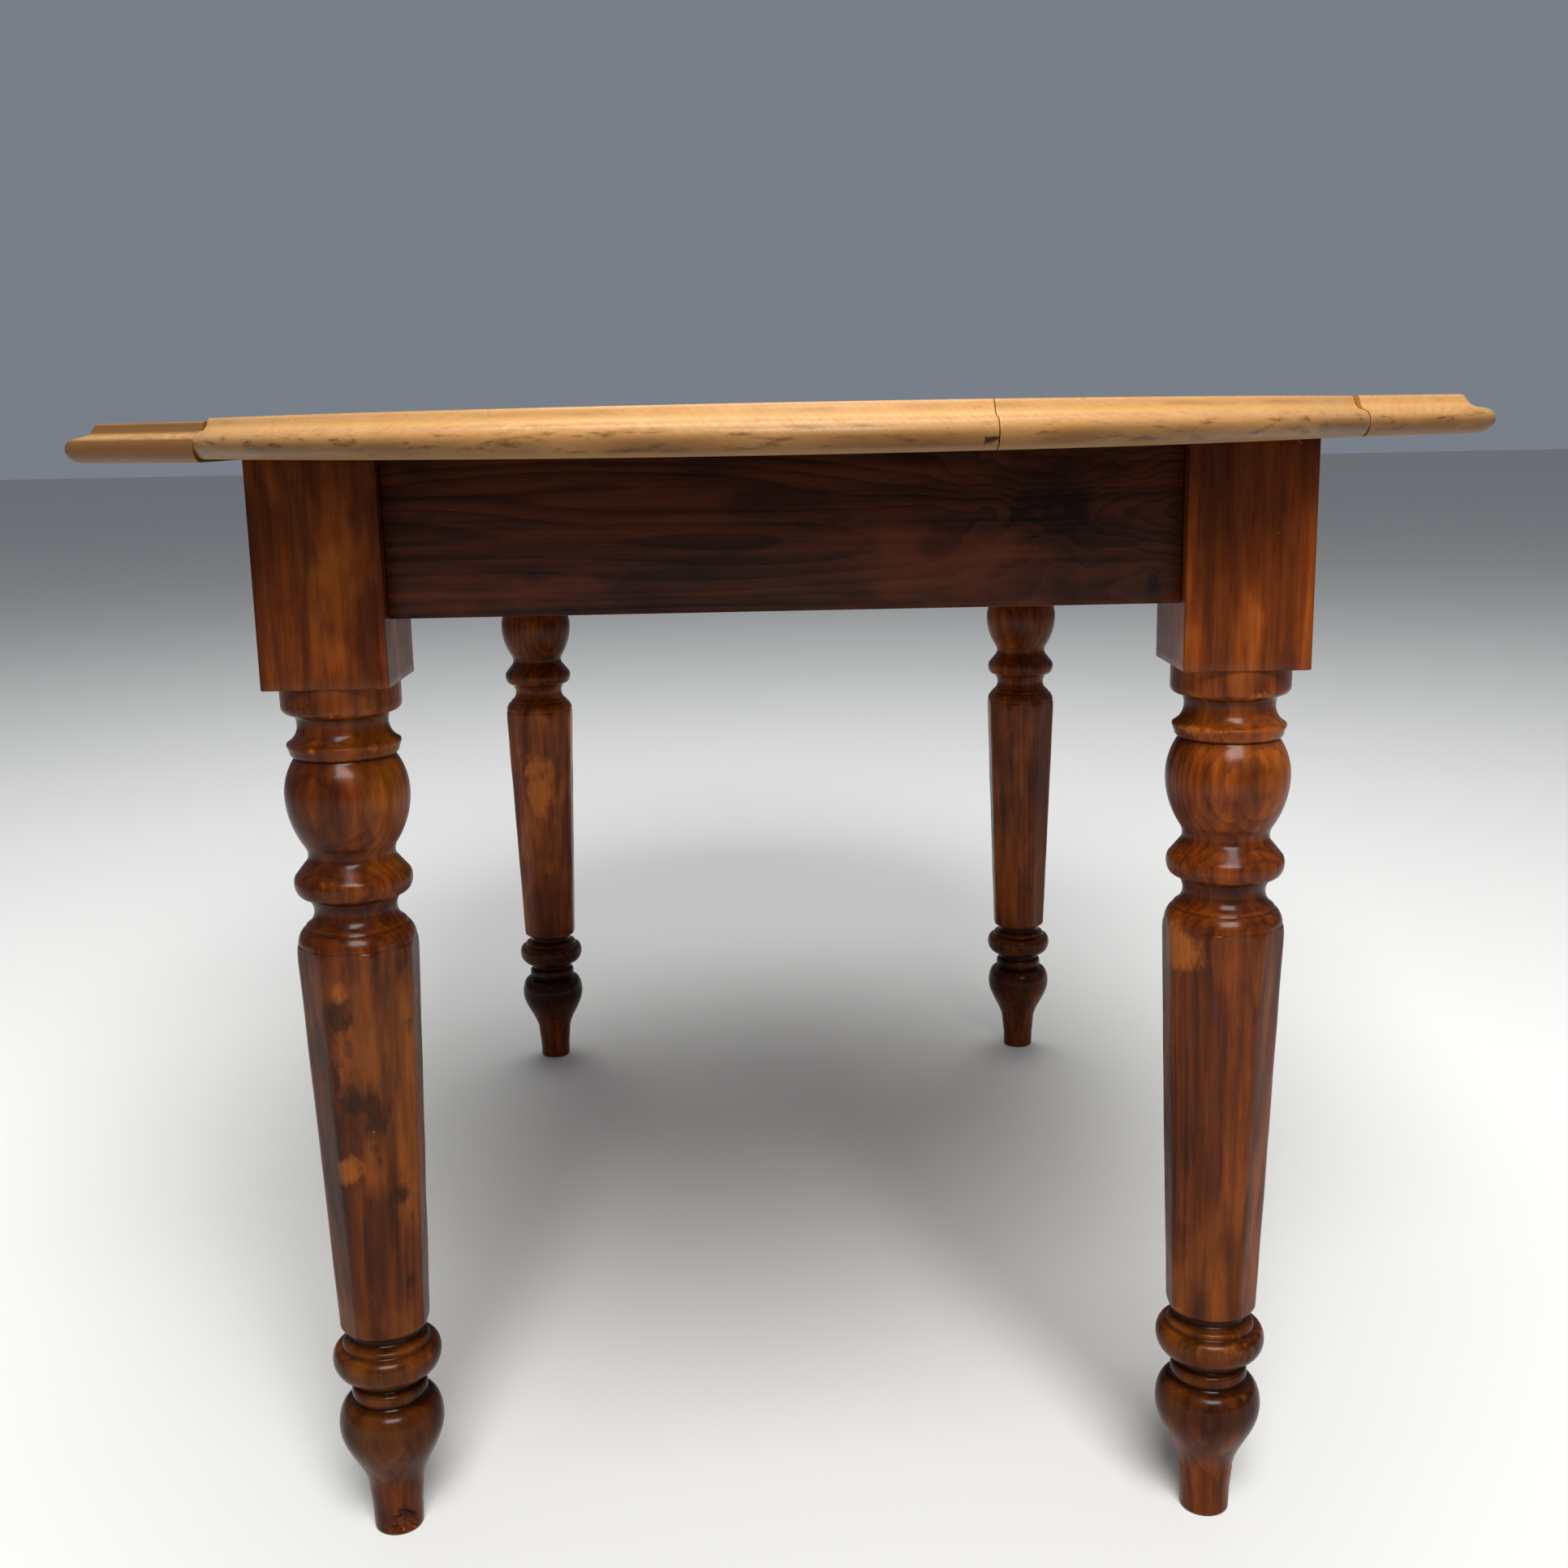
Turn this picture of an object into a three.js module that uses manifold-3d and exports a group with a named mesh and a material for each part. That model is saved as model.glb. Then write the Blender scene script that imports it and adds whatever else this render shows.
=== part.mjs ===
// Drop leaf table: four turned legs, four tenoned rails, a two-board fixed top with bowed ends,
// and two leaves on let-in iron hinges. Millimetres, +Z up. The origin is on the floor, at the
// middle of the table. X runs across the table, from leaf to leaf, and Y runs along it.

import * as THREE from 'three';
import { mergeVertices } from 'three/addons/utils/BufferGeometryUtils.js';
import Module from 'manifold-3d';

const wasm = await Module();
wasm.setup();

// ---------------------------------------------------------------- driving dimensions

const GAP = 0.3; // clearance between pieces that touch

// Heights
const TOP_UNDERSIDE = 720;
const TOP_THICKNESS = 23;
const BLOCK_BOTTOM = 582.4;
const RAIL_BOTTOM = 623.3;

// Legs
const LEG_X = 276.5; // leg axis, from the middle of the table
const LEG_Y = 456;
const BLOCK_WIDTH = 77;
const LEG_SIDES = 18;
const SHAFT_FLATS = 8;
const SHAFT_TOP = { z: 413, acrossFlats: 72.5 };
const SHAFT_FOOT = { z: 149, acrossFlats: 56 };

// Rails and their tenons
const RAIL_THICKNESS = 22;
const RAIL_SETBACK = 10; // rail face behind the leg face
const TENON = { length: 40, thickness: 9, bottom: 635, top: 705 };

// Top, in plan
const SEAM_X = 331; // leaf seam, and the hinge axis
const SEAM_END_Y = 531; // where the seam meets the bowed end
const HALF_LENGTH = 753;
const LEAF_CORNER = { x: 428, y: 468, radius: 28 };
const HALF_WIDTH = 510;
const SEAM_GAP = 0.5;
const BOARD_SEAM_X = 95.5; // glue line between the two boards of the fixed top
const OVERRUN = 30; // how far a slab is made past its seam before it is cut there

// Moulded edge: [inset from the nose, depth below the top face], from the underside up
const EDGE_PROFILE = [
  [9.5, 23], [6, 22], [2.6, 20], [0.5, 17], [0.3, 14], [1.2, 11.5],
  [3.5, 9.3], [7, 8], [12, 7.1], [15.5, 5.2], [17.6, 2.6], [19.8, 0],
];

// Hinges
const HINGE_YS = [-360, 0, 360];
const HINGE = { length: 64, plate: 2, topFlap: 20, leafFlap: 36 };
const KNUCKLE = { radius: 3.5, bore: 2.0, pin: 1.6, half: 10, clear: 0.4 };
const AXIS_Z = TOP_UNDERSIDE + HINGE.plate - KNUCKLE.radius;

// Screws: countersunk, measured from the flat of the head
const HINGE_SCREW = { head: 3.4, headDepth: 2, shank: 1.7, length: 15 };
const BUTTON_SCREW = { head: 4, headDepth: 2.4, shank: 2, length: 30 };
const BRACKET_SCREW = { head: 4.4, headDepth: 2.6, shank: 2.2, length: 34 };

// Top buttons: L-shaped blocks that hook into the rails
const BUTTON = { depth: 34, width: 28, height: 17, tongue: 9, tongueHeight: 8 };
const SIDE_BUTTON_YS = [-270, 0, 270];

// Fly brackets
const BRACKET = {
  pivotY: 110, blockLength: 95, reach: 150, thickness: 20, bottom: 656, top: 716,
  knuckle: 10, third: 20, pin: 2.4, bore: 2.8, tipHeight: 18,
};
const BRACKET_SCREW_YS = [140, 185];

// ---------------------------------------------------------------- derived dimensions

const TOP_FACE = TOP_UNDERSIDE + TOP_THICKNESS;
const FRAME_TOP = TOP_UNDERSIDE - GAP;
const RAIL_OFFSET = BLOCK_WIDTH / 2 - RAIL_SETBACK - RAIL_THICKNESS / 2;
const SIDE_RAIL_X = LEG_X + RAIL_OFFSET;
const END_RAIL_Y = LEG_Y + RAIL_OFFSET;
const SIDE_RAIL_FACE = SIDE_RAIL_X + RAIL_THICKNESS / 2;
const BRACKET_X = SIDE_RAIL_FACE + GAP;
const BRACKET_AXIS_X = BRACKET_X + BRACKET.thickness / 2;

// ---------------------------------------------------------------- finishes

const finish = (color, roughness, metalness = 0) => ({ color, roughness, metalness });
const TOP_WOOD = finish(0xb57a3c, 0.4);
const LEG_WOOD = finish(0x6e2f12, 0.3);
const RAIL_WOOD = finish(0x2f1710, 0.4);
const BARE_WOOD = finish(0x7a5a38, 0.8);
const IRON = finish(0x3a3634, 0.6, 0.8);
const STEEL = finish(0x77736e, 0.45, 0.9);

// ---------------------------------------------------------------- solids

// A closed three.js geometry as a manifold solid, its sliver-free triangles only.
function toSolid(geometry) {
  const plain = new THREE.BufferGeometry();
  plain.setAttribute('position', geometry.getAttribute('position'));
  plain.setIndex(geometry.getIndex());
  const merged = mergeVertices(plain, 1e-4);
  const corners = merged.getIndex().array;
  const kept = [];
  for (let i = 0; i < corners.length; i += 3) {
    const [a, b, c] = corners.slice(i, i + 3);
    if (a !== b && b !== c && c !== a) kept.push(a, b, c);
  }
  return new wasm.Manifold(new wasm.Mesh({
    numProp: 3,
    vertProperties: new Float32Array(merged.getAttribute('position').array),
    triVerts: new Uint32Array(kept),
  }));
}

function toGeometry(solid) {
  const mesh = solid.getMesh();
  const geometry = new THREE.BufferGeometry();
  geometry.setAttribute('position', new THREE.BufferAttribute(mesh.vertProperties, 3));
  geometry.setIndex(new THREE.BufferAttribute(mesh.triVerts, 1));
  return geometry;
}

// Stands a profile drawn in (y, z) upright, extruded along +X.
const ON_EDGE = new THREE.Matrix4().makeBasis(
  new THREE.Vector3(0, 1, 0), new THREE.Vector3(0, 0, 1), new THREE.Vector3(1, 0, 0));

const join = (solids) => solids.reduce((whole, solid) => whole.add(solid));
const cut = (solid, tools) => tools.reduce((left, tool) => left.subtract(tool), solid);

// A box between two corners.
function box(low, high) {
  const size = high.map((value, i) => value - low[i]);
  const middle = high.map((value, i) => (value + low[i]) / 2);
  return toSolid(new THREE.BoxGeometry(...size).translate(...middle));
}

// A round bar along X, Y or Z, from one end to the other.
function bar(axis, radius, from, to, middle, sides = 12) {
  const geometry = new THREE.CylinderGeometry(radius, radius, to - from, sides);
  geometry.translate(0, (from + to) / 2, 0);
  if (axis === 'x') geometry.rotateZ(-Math.PI / 2);
  if (axis === 'z') geometry.rotateX(Math.PI / 2);
  return toSolid(geometry.translate(...middle));
}

// A turned solid about the Z axis, from [z, diameter] stations in rising order.
function turned(stations, sides = LEG_SIDES) {
  const profile = stations.map(([z, diameter]) => new THREE.Vector2(diameter / 2, z));
  const first = new THREE.Vector2(0, stations[0][0]);
  const last = new THREE.Vector2(0, stations[stations.length - 1][0]);
  return toSolid(new THREE.LatheGeometry([first, ...profile, last], sides).rotateX(Math.PI / 2));
}

// ---------------------------------------------------------------- top and leaves

// The outline moved inwards, each corner along the mitre of its two edges.
function inset(outline, distance) {
  const count = outline.length;
  const inward = (from, to) => new THREE.Vector2(from.y - to.y, to.x - from.x).normalize();
  return outline.map((point, i) => {
    const one = inward(outline[(i + count - 1) % count], point);
    const two = inward(point, outline[(i + 1) % count]);
    const mitre = one.clone().add(two).normalize();
    return point.clone().addScaledVector(mitre, distance / mitre.dot(one));
  });
}

// A slab with the moulded edge all round an anticlockwise outline.
function mouldedSlab(outline) {
  const rings = EDGE_PROFILE.map(([inward, depth]) =>
    inset(outline, inward).map((point) => [point.x, point.y, TOP_FACE - depth]));
  const count = outline.length;
  const index = [];
  for (let ring = 0; ring < rings.length - 1; ring++) {
    for (let i = 0; i < count; i++) {
      const next = (i + 1) % count;
      const [a, b] = [ring * count + i, ring * count + next];
      index.push(a, b, b + count, a, b + count, a + count);
    }
  }
  const flat = (ring) => ring.map(([x, y]) => new THREE.Vector2(x, y));
  const above = (rings.length - 1) * count;
  for (const [a, b, c] of THREE.ShapeUtils.triangulateShape(flat(rings[0]), [])) {
    index.push(a, c, b);
  }
  for (const [a, b, c] of THREE.ShapeUtils.triangulateShape(flat(rings[rings.length - 1]), [])) {
    index.push(above + a, above + b, above + c);
  }
  const geometry = new THREE.BufferGeometry();
  geometry.setAttribute('position', new THREE.Float32BufferAttribute(rings.flat(2), 3));
  geometry.setIndex(index);
  return toSolid(geometry);
}

// Both bowed ends, run on past the seams.
function fixedTopOutline(steps = 14) {
  const reach = SEAM_X + OVERRUN;
  const end = [];
  for (let i = 0; i <= steps; i++) {
    const x = -reach + (2 * reach * i) / steps;
    end.push(new THREE.Vector2(x, -HALF_LENGTH + (HALF_LENGTH - SEAM_END_Y) * (x / SEAM_X) ** 2));
  }
  const farEnd = end.map((point) => point.clone().negate());
  return [...end, ...farEnd];
}

// The arc that rounds a corner between two straight runs.
function roundedCorner(before, corner, after, radius, steps = 3) {
  const back = before.clone().sub(corner).normalize();
  const forward = after.clone().sub(corner).normalize();
  const half = back.angleTo(forward) / 2;
  const bisector = back.clone().add(forward).normalize();
  const centre = corner.clone().addScaledVector(bisector, radius / Math.sin(half));
  const touch = corner.clone().addScaledVector(back, radius / Math.tan(half)).sub(centre);
  const turn = Math.PI - 2 * half;
  const points = [];
  for (let i = 0; i <= steps; i++) {
    const spoke = touch.clone().rotateAround(new THREE.Vector2(), (turn * i) / steps);
    points.push(spoke.add(centre));
  }
  return points;
}

// The +X leaf: a straight cant from the seam, a round corner, and a long bowed side.
function leafOutline(steps = 14) {
  const corner = new THREE.Vector2(LEAF_CORNER.x, -LEAF_CORNER.y);
  const farCorner = new THREE.Vector2(LEAF_CORNER.x, LEAF_CORNER.y);
  const bulge = new THREE.Vector2(2 * HALF_WIDTH - LEAF_CORNER.x, 0);
  const side = new THREE.QuadraticBezierCurve(corner, bulge, farCorner).getPoints(steps);
  const slope = (SEAM_END_Y - LEAF_CORNER.y) / (LEAF_CORNER.x - SEAM_X);
  const start = new THREE.Vector2(SEAM_X - OVERRUN, -SEAM_END_Y - slope * OVERRUN);
  const finishPoint = new THREE.Vector2(start.x, -start.y);
  return [
    start,
    ...roundedCorner(start, corner, side[1], LEAF_CORNER.radius),
    ...side.slice(1, -1),
    ...roundedCorner(side[steps - 1], farCorner, finishPoint, LEAF_CORNER.radius),
    finishPoint,
  ];
}

// ---------------------------------------------------------------- screws

// A countersunk wood screw that points up +Z, with the flat of its head at z = 0.
function screw({ head, headDepth, shank, length }, sides = 6) {
  return turned([[0, 2 * head], [headDepth, 2 * shank], [length - 3, 2 * shank], [length, 0.6]], sides);
}

// The hole that such a screw needs, open below its head.
function screwHole({ head, headDepth, shank, length }, sides = 6) {
  const wide = 2 * (head + GAP + 0.1);
  const narrow = 2 * (shank + GAP + 0.1);
  return turned([[-1, wide], [0, wide], [headDepth, narrow], [length + GAP, narrow]], sides);
}

const UP = [0, 0, 0];
const TOWARDS_MINUS_X = [0, -90, 0];
const placed = (solid, [x, y, z], turn = UP) => solid.rotate(turn).translate([x, y, z]);

// Screw places in the two flaps of a +X hinge centred on y = 0.
const topFlapScrews = [-22, 22].map((y) => [
  SEAM_X - KNUCKLE.radius - HINGE.topFlap / 2 - 1, y, TOP_UNDERSIDE,
]);
const leafFlapScrews = [[30, -22], [30, 22], [18, 0]].map(([dx, y]) => [
  SEAM_X + KNUCKLE.radius + dx, y, TOP_UNDERSIDE,
]);

// Buttons, each with its place along a rail and its turn about Z; at turn 0 the button
// lies inside the +Y rail, with its tongue towards +Y.
const BUTTONS = [
  ...[-1, 1].map((side) => ({
    x: 0, y: side * (END_RAIL_Y - RAIL_THICKNESS / 2), turn: side > 0 ? 0 : 180,
  })),
  ...[-1, 1].flatMap((side) => SIDE_BUTTON_YS.map((y) => ({
    x: side * (SIDE_RAIL_X - RAIL_THICKNESS / 2), y, turn: side > 0 ? -90 : 90,
  }))),
];
const atButton = (solid, { x, y, turn }) => solid.rotate([0, 0, turn]).translate([x, y, 0]);
const buttonScrewPlace = [0, -BUTTON.depth * 0.55, FRAME_TOP - BUTTON.height];
const buttonScrewHoles = () => BUTTONS.map((place) =>
  atButton(placed(screwHole(BUTTON_SCREW), buttonScrewPlace), place));

// Every point turned half a turn about the table's middle, for the -X side.
const halfTurn = (solid) => solid.rotate([0, 0, 180]);
const onBothSides = (solids) => [...solids, ...solids.map(halfTurn)];

// ---------------------------------------------------------------- boards and leaves

// The shallow pocket that lets one side of a hinge into the wood.
function hingePocket(y, fromX, toX) {
  const half = HINGE.length / 2 + KNUCKLE.clear;
  const deep = TOP_UNDERSIDE + HINGE.plate + GAP;
  return box([fromX, y - half, TOP_UNDERSIDE - 1], [toX, y + half, deep]);
}

function topBoard(fromX, toX) {
  const reach = HALF_LENGTH + 1;
  const slab = mouldedSlab(fixedTopOutline());
  const board = slab.intersect(box([fromX, -reach, TOP_UNDERSIDE - 1], [toX, reach, TOP_FACE + 1]));
  const pocketEdge = SEAM_X - KNUCKLE.radius - KNUCKLE.clear - HINGE.topFlap - GAP;
  const pockets = HINGE_YS.map((y) => hingePocket(y, pocketEdge, SEAM_X + 1));
  return cut(board, [...onBothSides(pockets), ...buttonScrewHoles()]);
}

function leafBoard() {
  const fromX = SEAM_X + SEAM_GAP / 2;
  const slab = mouldedSlab(leafOutline());
  const leaf = slab.intersect(
    box([fromX, -HALF_LENGTH, TOP_UNDERSIDE - 1], [HALF_WIDTH + 1, HALF_LENGTH, TOP_FACE + 1]));
  const pocketEdge = SEAM_X + KNUCKLE.radius + KNUCKLE.clear + HINGE.leafFlap + GAP;
  const pockets = HINGE_YS.map((y) => hingePocket(y, SEAM_X - 1, pocketEdge));
  return cut(leaf, pockets);
}

// ---------------------------------------------------------------- legs

// [z, diameter] stations of the turning, floor to shaft and shaft to block
const FOOT_TURNING = [
  [0, 32], [18, 34], [39, 38.6], [54, 51], [66, 64], [79.7, 69.4], [92, 63], [101, 49],
  [107, 49], [111, 42], [117, 58], [128.4, 71], [138, 58], [144, 43], [150, 54],
];
const NECK_TURNING = [
  [411, 73], [418, 74], [426, 66], [431, 57.5], [437.5, 51.6], [443, 55], [448, 66], [457, 73.5],
  [461, 71.5], [469, 58], [474, 54], [480, 57.4], [487, 65.3], [493.5, 70.6], [502, 74.9],
  [512.5, 77], [525, 73.5], [536, 63], [540, 67.5], [545, 70.6], [550, 61], [557, 56],
  [563, 57.5], [567.5, 73.5], [BLOCK_BOTTOM + 4, 73.8],
];

function shaft() {
  const corner = (acrossFlats) => acrossFlats / 2 / Math.cos(Math.PI / SHAFT_FLATS);
  const length = SHAFT_TOP.z - SHAFT_FOOT.z;
  const geometry = new THREE.CylinderGeometry(
    corner(SHAFT_TOP.acrossFlats), corner(SHAFT_FOOT.acrossFlats), length, SHAFT_FLATS);
  geometry.rotateY(Math.PI / SHAFT_FLATS);
  return toSolid(geometry.rotateX(Math.PI / 2).translate(0, 0, SHAFT_FOOT.z + length / 2));
}

// One mortise in the block's -X face; its twin in the -Y face is the same mortise mirrored.
function mortises() {
  const half = TENON.thickness / 2 + GAP;
  const face = -BLOCK_WIDTH / 2;
  const end = face + TENON.length + GAP;
  const [low, high] = [TENON.bottom - GAP, TENON.top + GAP];
  return [
    box([face - 1, RAIL_OFFSET - half, low], [end, RAIL_OFFSET + half, high]),
    box([RAIL_OFFSET - half, face - 1, low], [RAIL_OFFSET + half, end, high]),
  ];
}

// The leg of the +X +Y corner, with its axis at the origin.
function legSolid() {
  const half = BLOCK_WIDTH / 2;
  const block = box([-half, -half, BLOCK_BOTTOM], [half, half, FRAME_TOP]);
  return cut(join([block, turned(FOOT_TURNING), turned(NECK_TURNING), shaft()]), mortises());
}

// ---------------------------------------------------------------- rails

// A rail along X with a tenon at each end, centred on the Z axis.
function rail(clearLength) {
  const half = clearLength / 2 - GAP;
  const [thick, tenonThick] = [RAIL_THICKNESS / 2, TENON.thickness / 2];
  const board = box([-half, -thick, RAIL_BOTTOM], [half, thick, FRAME_TOP]);
  const reach = clearLength / 2 + TENON.length - GAP;
  return board.add(box([-reach, -tenonThick, TENON.bottom], [reach, tenonThick, TENON.top]));
}

// The pocket that a button's tongue hooks into, at turn 0.
function buttonPocket() {
  const half = BUTTON.width / 2 + GAP;
  const bottom = FRAME_TOP - BUTTON.height - GAP;
  const top = bottom + BUTTON.tongueHeight + 2 * GAP;
  return box([-half, -1, bottom], [half, BUTTON.tongue + 2 * GAP, top]);
}

const bracketScrewPlaces = BRACKET_SCREW_YS.map((y) => [
  BRACKET_X + BRACKET.thickness, y, (BRACKET.bottom + BRACKET.top) / 2,
]);

function endRail(side) {
  const solid = rail(2 * LEG_X - BLOCK_WIDTH).translate([0, side * END_RAIL_Y, 0]);
  return cut(solid, BUTTONS.map((place) => atButton(buttonPocket(), place)));
}

function sideRail(side) {
  const lengthwise = rail(2 * LEG_Y - BLOCK_WIDTH).rotate([0, 0, 90]);
  const pockets = BUTTONS.map((place) => atButton(buttonPocket(), place));
  const holes = bracketScrewPlaces.map((place) =>
    placed(screwHole(BRACKET_SCREW), place, TOWARDS_MINUS_X));
  return cut(lengthwise.translate([side * SIDE_RAIL_X, 0, 0]), [...pockets, ...onBothSides(holes)]);
}

// ---------------------------------------------------------------- buttons

function button() {
  const { depth, width, height, tongue, tongueHeight } = BUTTON;
  const profile = new THREE.Shape([
    new THREE.Vector2(tongue, 0), new THREE.Vector2(tongue, tongueHeight),
    new THREE.Vector2(-GAP, tongueHeight), new THREE.Vector2(-GAP, height),
    new THREE.Vector2(-depth, height), new THREE.Vector2(-depth, 0),
  ]);
  const geometry = new THREE.ExtrudeGeometry(profile, { depth: width, bevelEnabled: false });
  geometry.applyMatrix4(ON_EDGE).translate(-width / 2, 0, FRAME_TOP - height);
  return toSolid(geometry).subtract(placed(screwHole(BUTTON_SCREW), buttonScrewPlace));
}

// ---------------------------------------------------------------- hinges, on the +X side

// The flap and knuckles of one side of a hinge centred on y = 0. The flap runs from
// the knuckle towards +X or -X, and spans are the lengths of Y that its knuckles take.
function hingeSide(direction, flapWidth, spans, screwPlaces) {
  const half = HINGE.length / 2;
  const near = KNUCKLE.radius + KNUCKLE.clear;
  const ordered = (a, b) => (direction > 0 ? [a, b] : [-b, -a]);
  const [low, high] = [TOP_UNDERSIDE, TOP_UNDERSIDE + HINGE.plate];
  const flapX = ordered(near, near + flapWidth);
  const lugX = ordered(0, near + 1);
  const flap = box([SEAM_X + flapX[0], -half, low], [SEAM_X + flapX[1], half, high]);
  const centre = [SEAM_X, 0, AXIS_Z];
  const lugs = spans.flatMap(([from, to]) => [
    box([SEAM_X + lugX[0], from, low], [SEAM_X + lugX[1], to, high]),
    bar('y', KNUCKLE.radius, from, to, centre, 10),
  ]);
  const bore = bar('y', KNUCKLE.bore, -half - 1, half + 1, centre, 8);
  const holes = screwPlaces.map((place) => placed(screwHole(HINGE_SCREW), place));
  return cut(join([flap, ...lugs]), [bore, ...holes]);
}

function hingeTopPlate() {
  const half = HINGE.length / 2;
  const inner = KNUCKLE.half + GAP / 2;
  return hingeSide(-1, HINGE.topFlap, [[-half, -inner], [inner, half]], topFlapScrews);
}

function hingeLeafPlate() {
  const inner = KNUCKLE.half - GAP / 2;
  return hingeSide(1, HINGE.leafFlap, [[-inner, inner]], leafFlapScrews);
}

function hingePin() {
  const half = HINGE.length / 2;
  return bar('y', KNUCKLE.pin, -half, half, [SEAM_X, 0, AXIS_Z], 8);
}

// ---------------------------------------------------------------- fly brackets, +X side

const BRACKET_MIDDLE = (BRACKET.bottom + BRACKET.top) / 2;
const THUMB = [BRACKET_MIDDLE - BRACKET.third / 2, BRACKET_MIDDLE + BRACKET.third / 2];

// A round knuckle about the bracket's upright pin, with the web that ties it in.
function bracketKnuckle(low, high, towards) {
  const { knuckle, pivotY } = BRACKET;
  const web = [pivotY, pivotY + towards * (knuckle + GAP + 2)].sort((a, b) => a - b);
  return join([
    bar('z', knuckle, low, high, [BRACKET_AXIS_X, pivotY, 0], 14),
    box([BRACKET_AXIS_X - knuckle, web[0], low], [BRACKET_AXIS_X + knuckle, web[1], high]),
  ]);
}

const bracketBore = () => bar(
  'z', BRACKET.bore, BRACKET.bottom - 1, BRACKET.top + 1, [BRACKET_AXIS_X, BRACKET.pivotY, 0], 8);

function bracketBlock() {
  const { pivotY, knuckle, blockLength, thickness, bottom, top } = BRACKET;
  const start = pivotY + knuckle + 1;
  const body = box([BRACKET_X, start, bottom], [BRACKET_X + thickness, start + blockLength, top]);
  const knuckles = [
    bracketKnuckle(bottom, THUMB[0] - GAP / 2, 1),
    bracketKnuckle(THUMB[1] + GAP / 2, top, 1),
  ];
  const holes = bracketScrewPlaces.map((place) =>
    placed(screwHole(BRACKET_SCREW), place, TOWARDS_MINUS_X));
  return cut(join([body, ...knuckles]), [bracketBore(), ...holes]);
}

// The arm folded flat along the rail; its lower edge is an ogee up to a thin tip.
function bracketArm() {
  const { pivotY, knuckle, reach, thickness, bottom, top, tipHeight } = BRACKET;
  const start = pivotY - knuckle - 1;
  const tip = pivotY - reach;
  const profile = new THREE.Shape();
  profile.moveTo(start, top);
  profile.lineTo(tip, top);
  profile.lineTo(tip, top - tipHeight);
  profile.bezierCurveTo(tip + 40, top - tipHeight, start - 70, bottom + 8, start - 30, bottom);
  profile.lineTo(start, bottom);
  const geometry = new THREE.ExtrudeGeometry(profile, {
    depth: thickness, bevelEnabled: false, curveSegments: 8,
  });
  geometry.applyMatrix4(ON_EDGE).translate(BRACKET_X, 0, 0);
  const thumb = bracketKnuckle(THUMB[0] + GAP / 2, THUMB[1] - GAP / 2, -1);
  return toSolid(geometry).add(thumb).subtract(bracketBore());
}

function bracketPin() {
  const { pin, bottom, top, pivotY } = BRACKET;
  return bar('z', pin, bottom - 2, top + 2, [BRACKET_AXIS_X, pivotY, 0], 8);
}

// ---------------------------------------------------------------- the scene

const group = new THREE.Group();

function addPiece(name, geometry, look, parent = group) {
  const mesh = new THREE.Mesh(geometry, new THREE.MeshStandardMaterial(look));
  mesh.name = name;
  parent.add(mesh);
  return mesh;
}

const addSolid = (name, solid, look, parent) => addPiece(name, toGeometry(solid), look, parent);

function addTop() {
  const side = SEAM_X - SEAM_GAP / 2;
  addSolid('top_board_wide', topBoard(-side, BOARD_SEAM_X - GAP), TOP_WOOD);
  addSolid('top_board_narrow', topBoard(BOARD_SEAM_X + GAP, side), TOP_WOOD);
}

function addLegs() {
  const leg = toGeometry(legSolid());
  const corners = [
    ['leg_back_right', 1, 1], ['leg_back_left', -1, 1],
    ['leg_front_left', -1, -1], ['leg_front_right', 1, -1],
  ];
  corners.forEach(([name, sideX, sideY], quarter) => {
    const mesh = addPiece(name, leg, LEG_WOOD);
    mesh.position.set(sideX * LEG_X, sideY * LEG_Y, 0);
    mesh.rotation.z = (quarter * Math.PI) / 2;
  });
}

function addRails() {
  addSolid('end_rail_front', endRail(-1), RAIL_WOOD);
  addSolid('end_rail_back', endRail(1), RAIL_WOOD);
  addSolid('side_rail_left', sideRail(-1), RAIL_WOOD);
  addSolid('side_rail_right', sideRail(1), RAIL_WOOD);
}

function addButtons() {
  BUTTONS.forEach((place, i) => {
    const buttonScrew = placed(screw(BUTTON_SCREW), buttonScrewPlace);
    addSolid(`top_button_${i + 1}`, atButton(button(), place), BARE_WOOD);
    addSolid(`top_button_screw_${i + 1}`, atButton(buttonScrew, place), STEEL);
  });
}

// Everything on one side: the leaf, its hinges and its fly bracket.
function addSide(sideName, turn) {
  const side = new THREE.Group();
  side.rotation.z = turn;
  group.add(side);
  addSolid(`${sideName}_leaf`, leafBoard(), TOP_WOOD, side);
  HINGE_YS.forEach((y, i) => {
    const pieces = {
      hinge_top_plate: hingeTopPlate(), hinge_leaf_plate: hingeLeafPlate(), hinge_pin: hingePin(),
    };
    for (const [piece, solid] of Object.entries(pieces)) {
      addSolid(`${sideName}_${piece}_${i + 1}`, solid, IRON, side).position.y = y;
    }
  });
  addSolid(`${sideName}_bracket_block`, bracketBlock(), BARE_WOOD, side);
  addSolid(`${sideName}_bracket_arm`, bracketArm(), BARE_WOOD, side);
  addSolid(`${sideName}_bracket_pin`, bracketPin(), IRON, side);
  bracketScrewPlaces.forEach((place, i) => {
    const blockScrew = placed(screw(BRACKET_SCREW), place, TOWARDS_MINUS_X);
    addSolid(`${sideName}_bracket_screw_${i + 1}`, blockScrew, STEEL, side);
  });
}

addTop();
addLegs();
addRails();
addButtons();
addSide('right', 0);
addSide('left', Math.PI);

export default group;
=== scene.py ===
"""Looks of a drop leaf table: turned legs, stained rails, a waxed top and two hinged leaves.

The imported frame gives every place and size. Each sub-assembly below is a class that builds its own
meshes in metres, in the frame's axes, and dresses them with a procedural finish.
"""

import sys
import logging
import math
from dataclasses import dataclass, field
from enum import Enum
from typing import Callable, Iterable, Optional, Sequence

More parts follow.
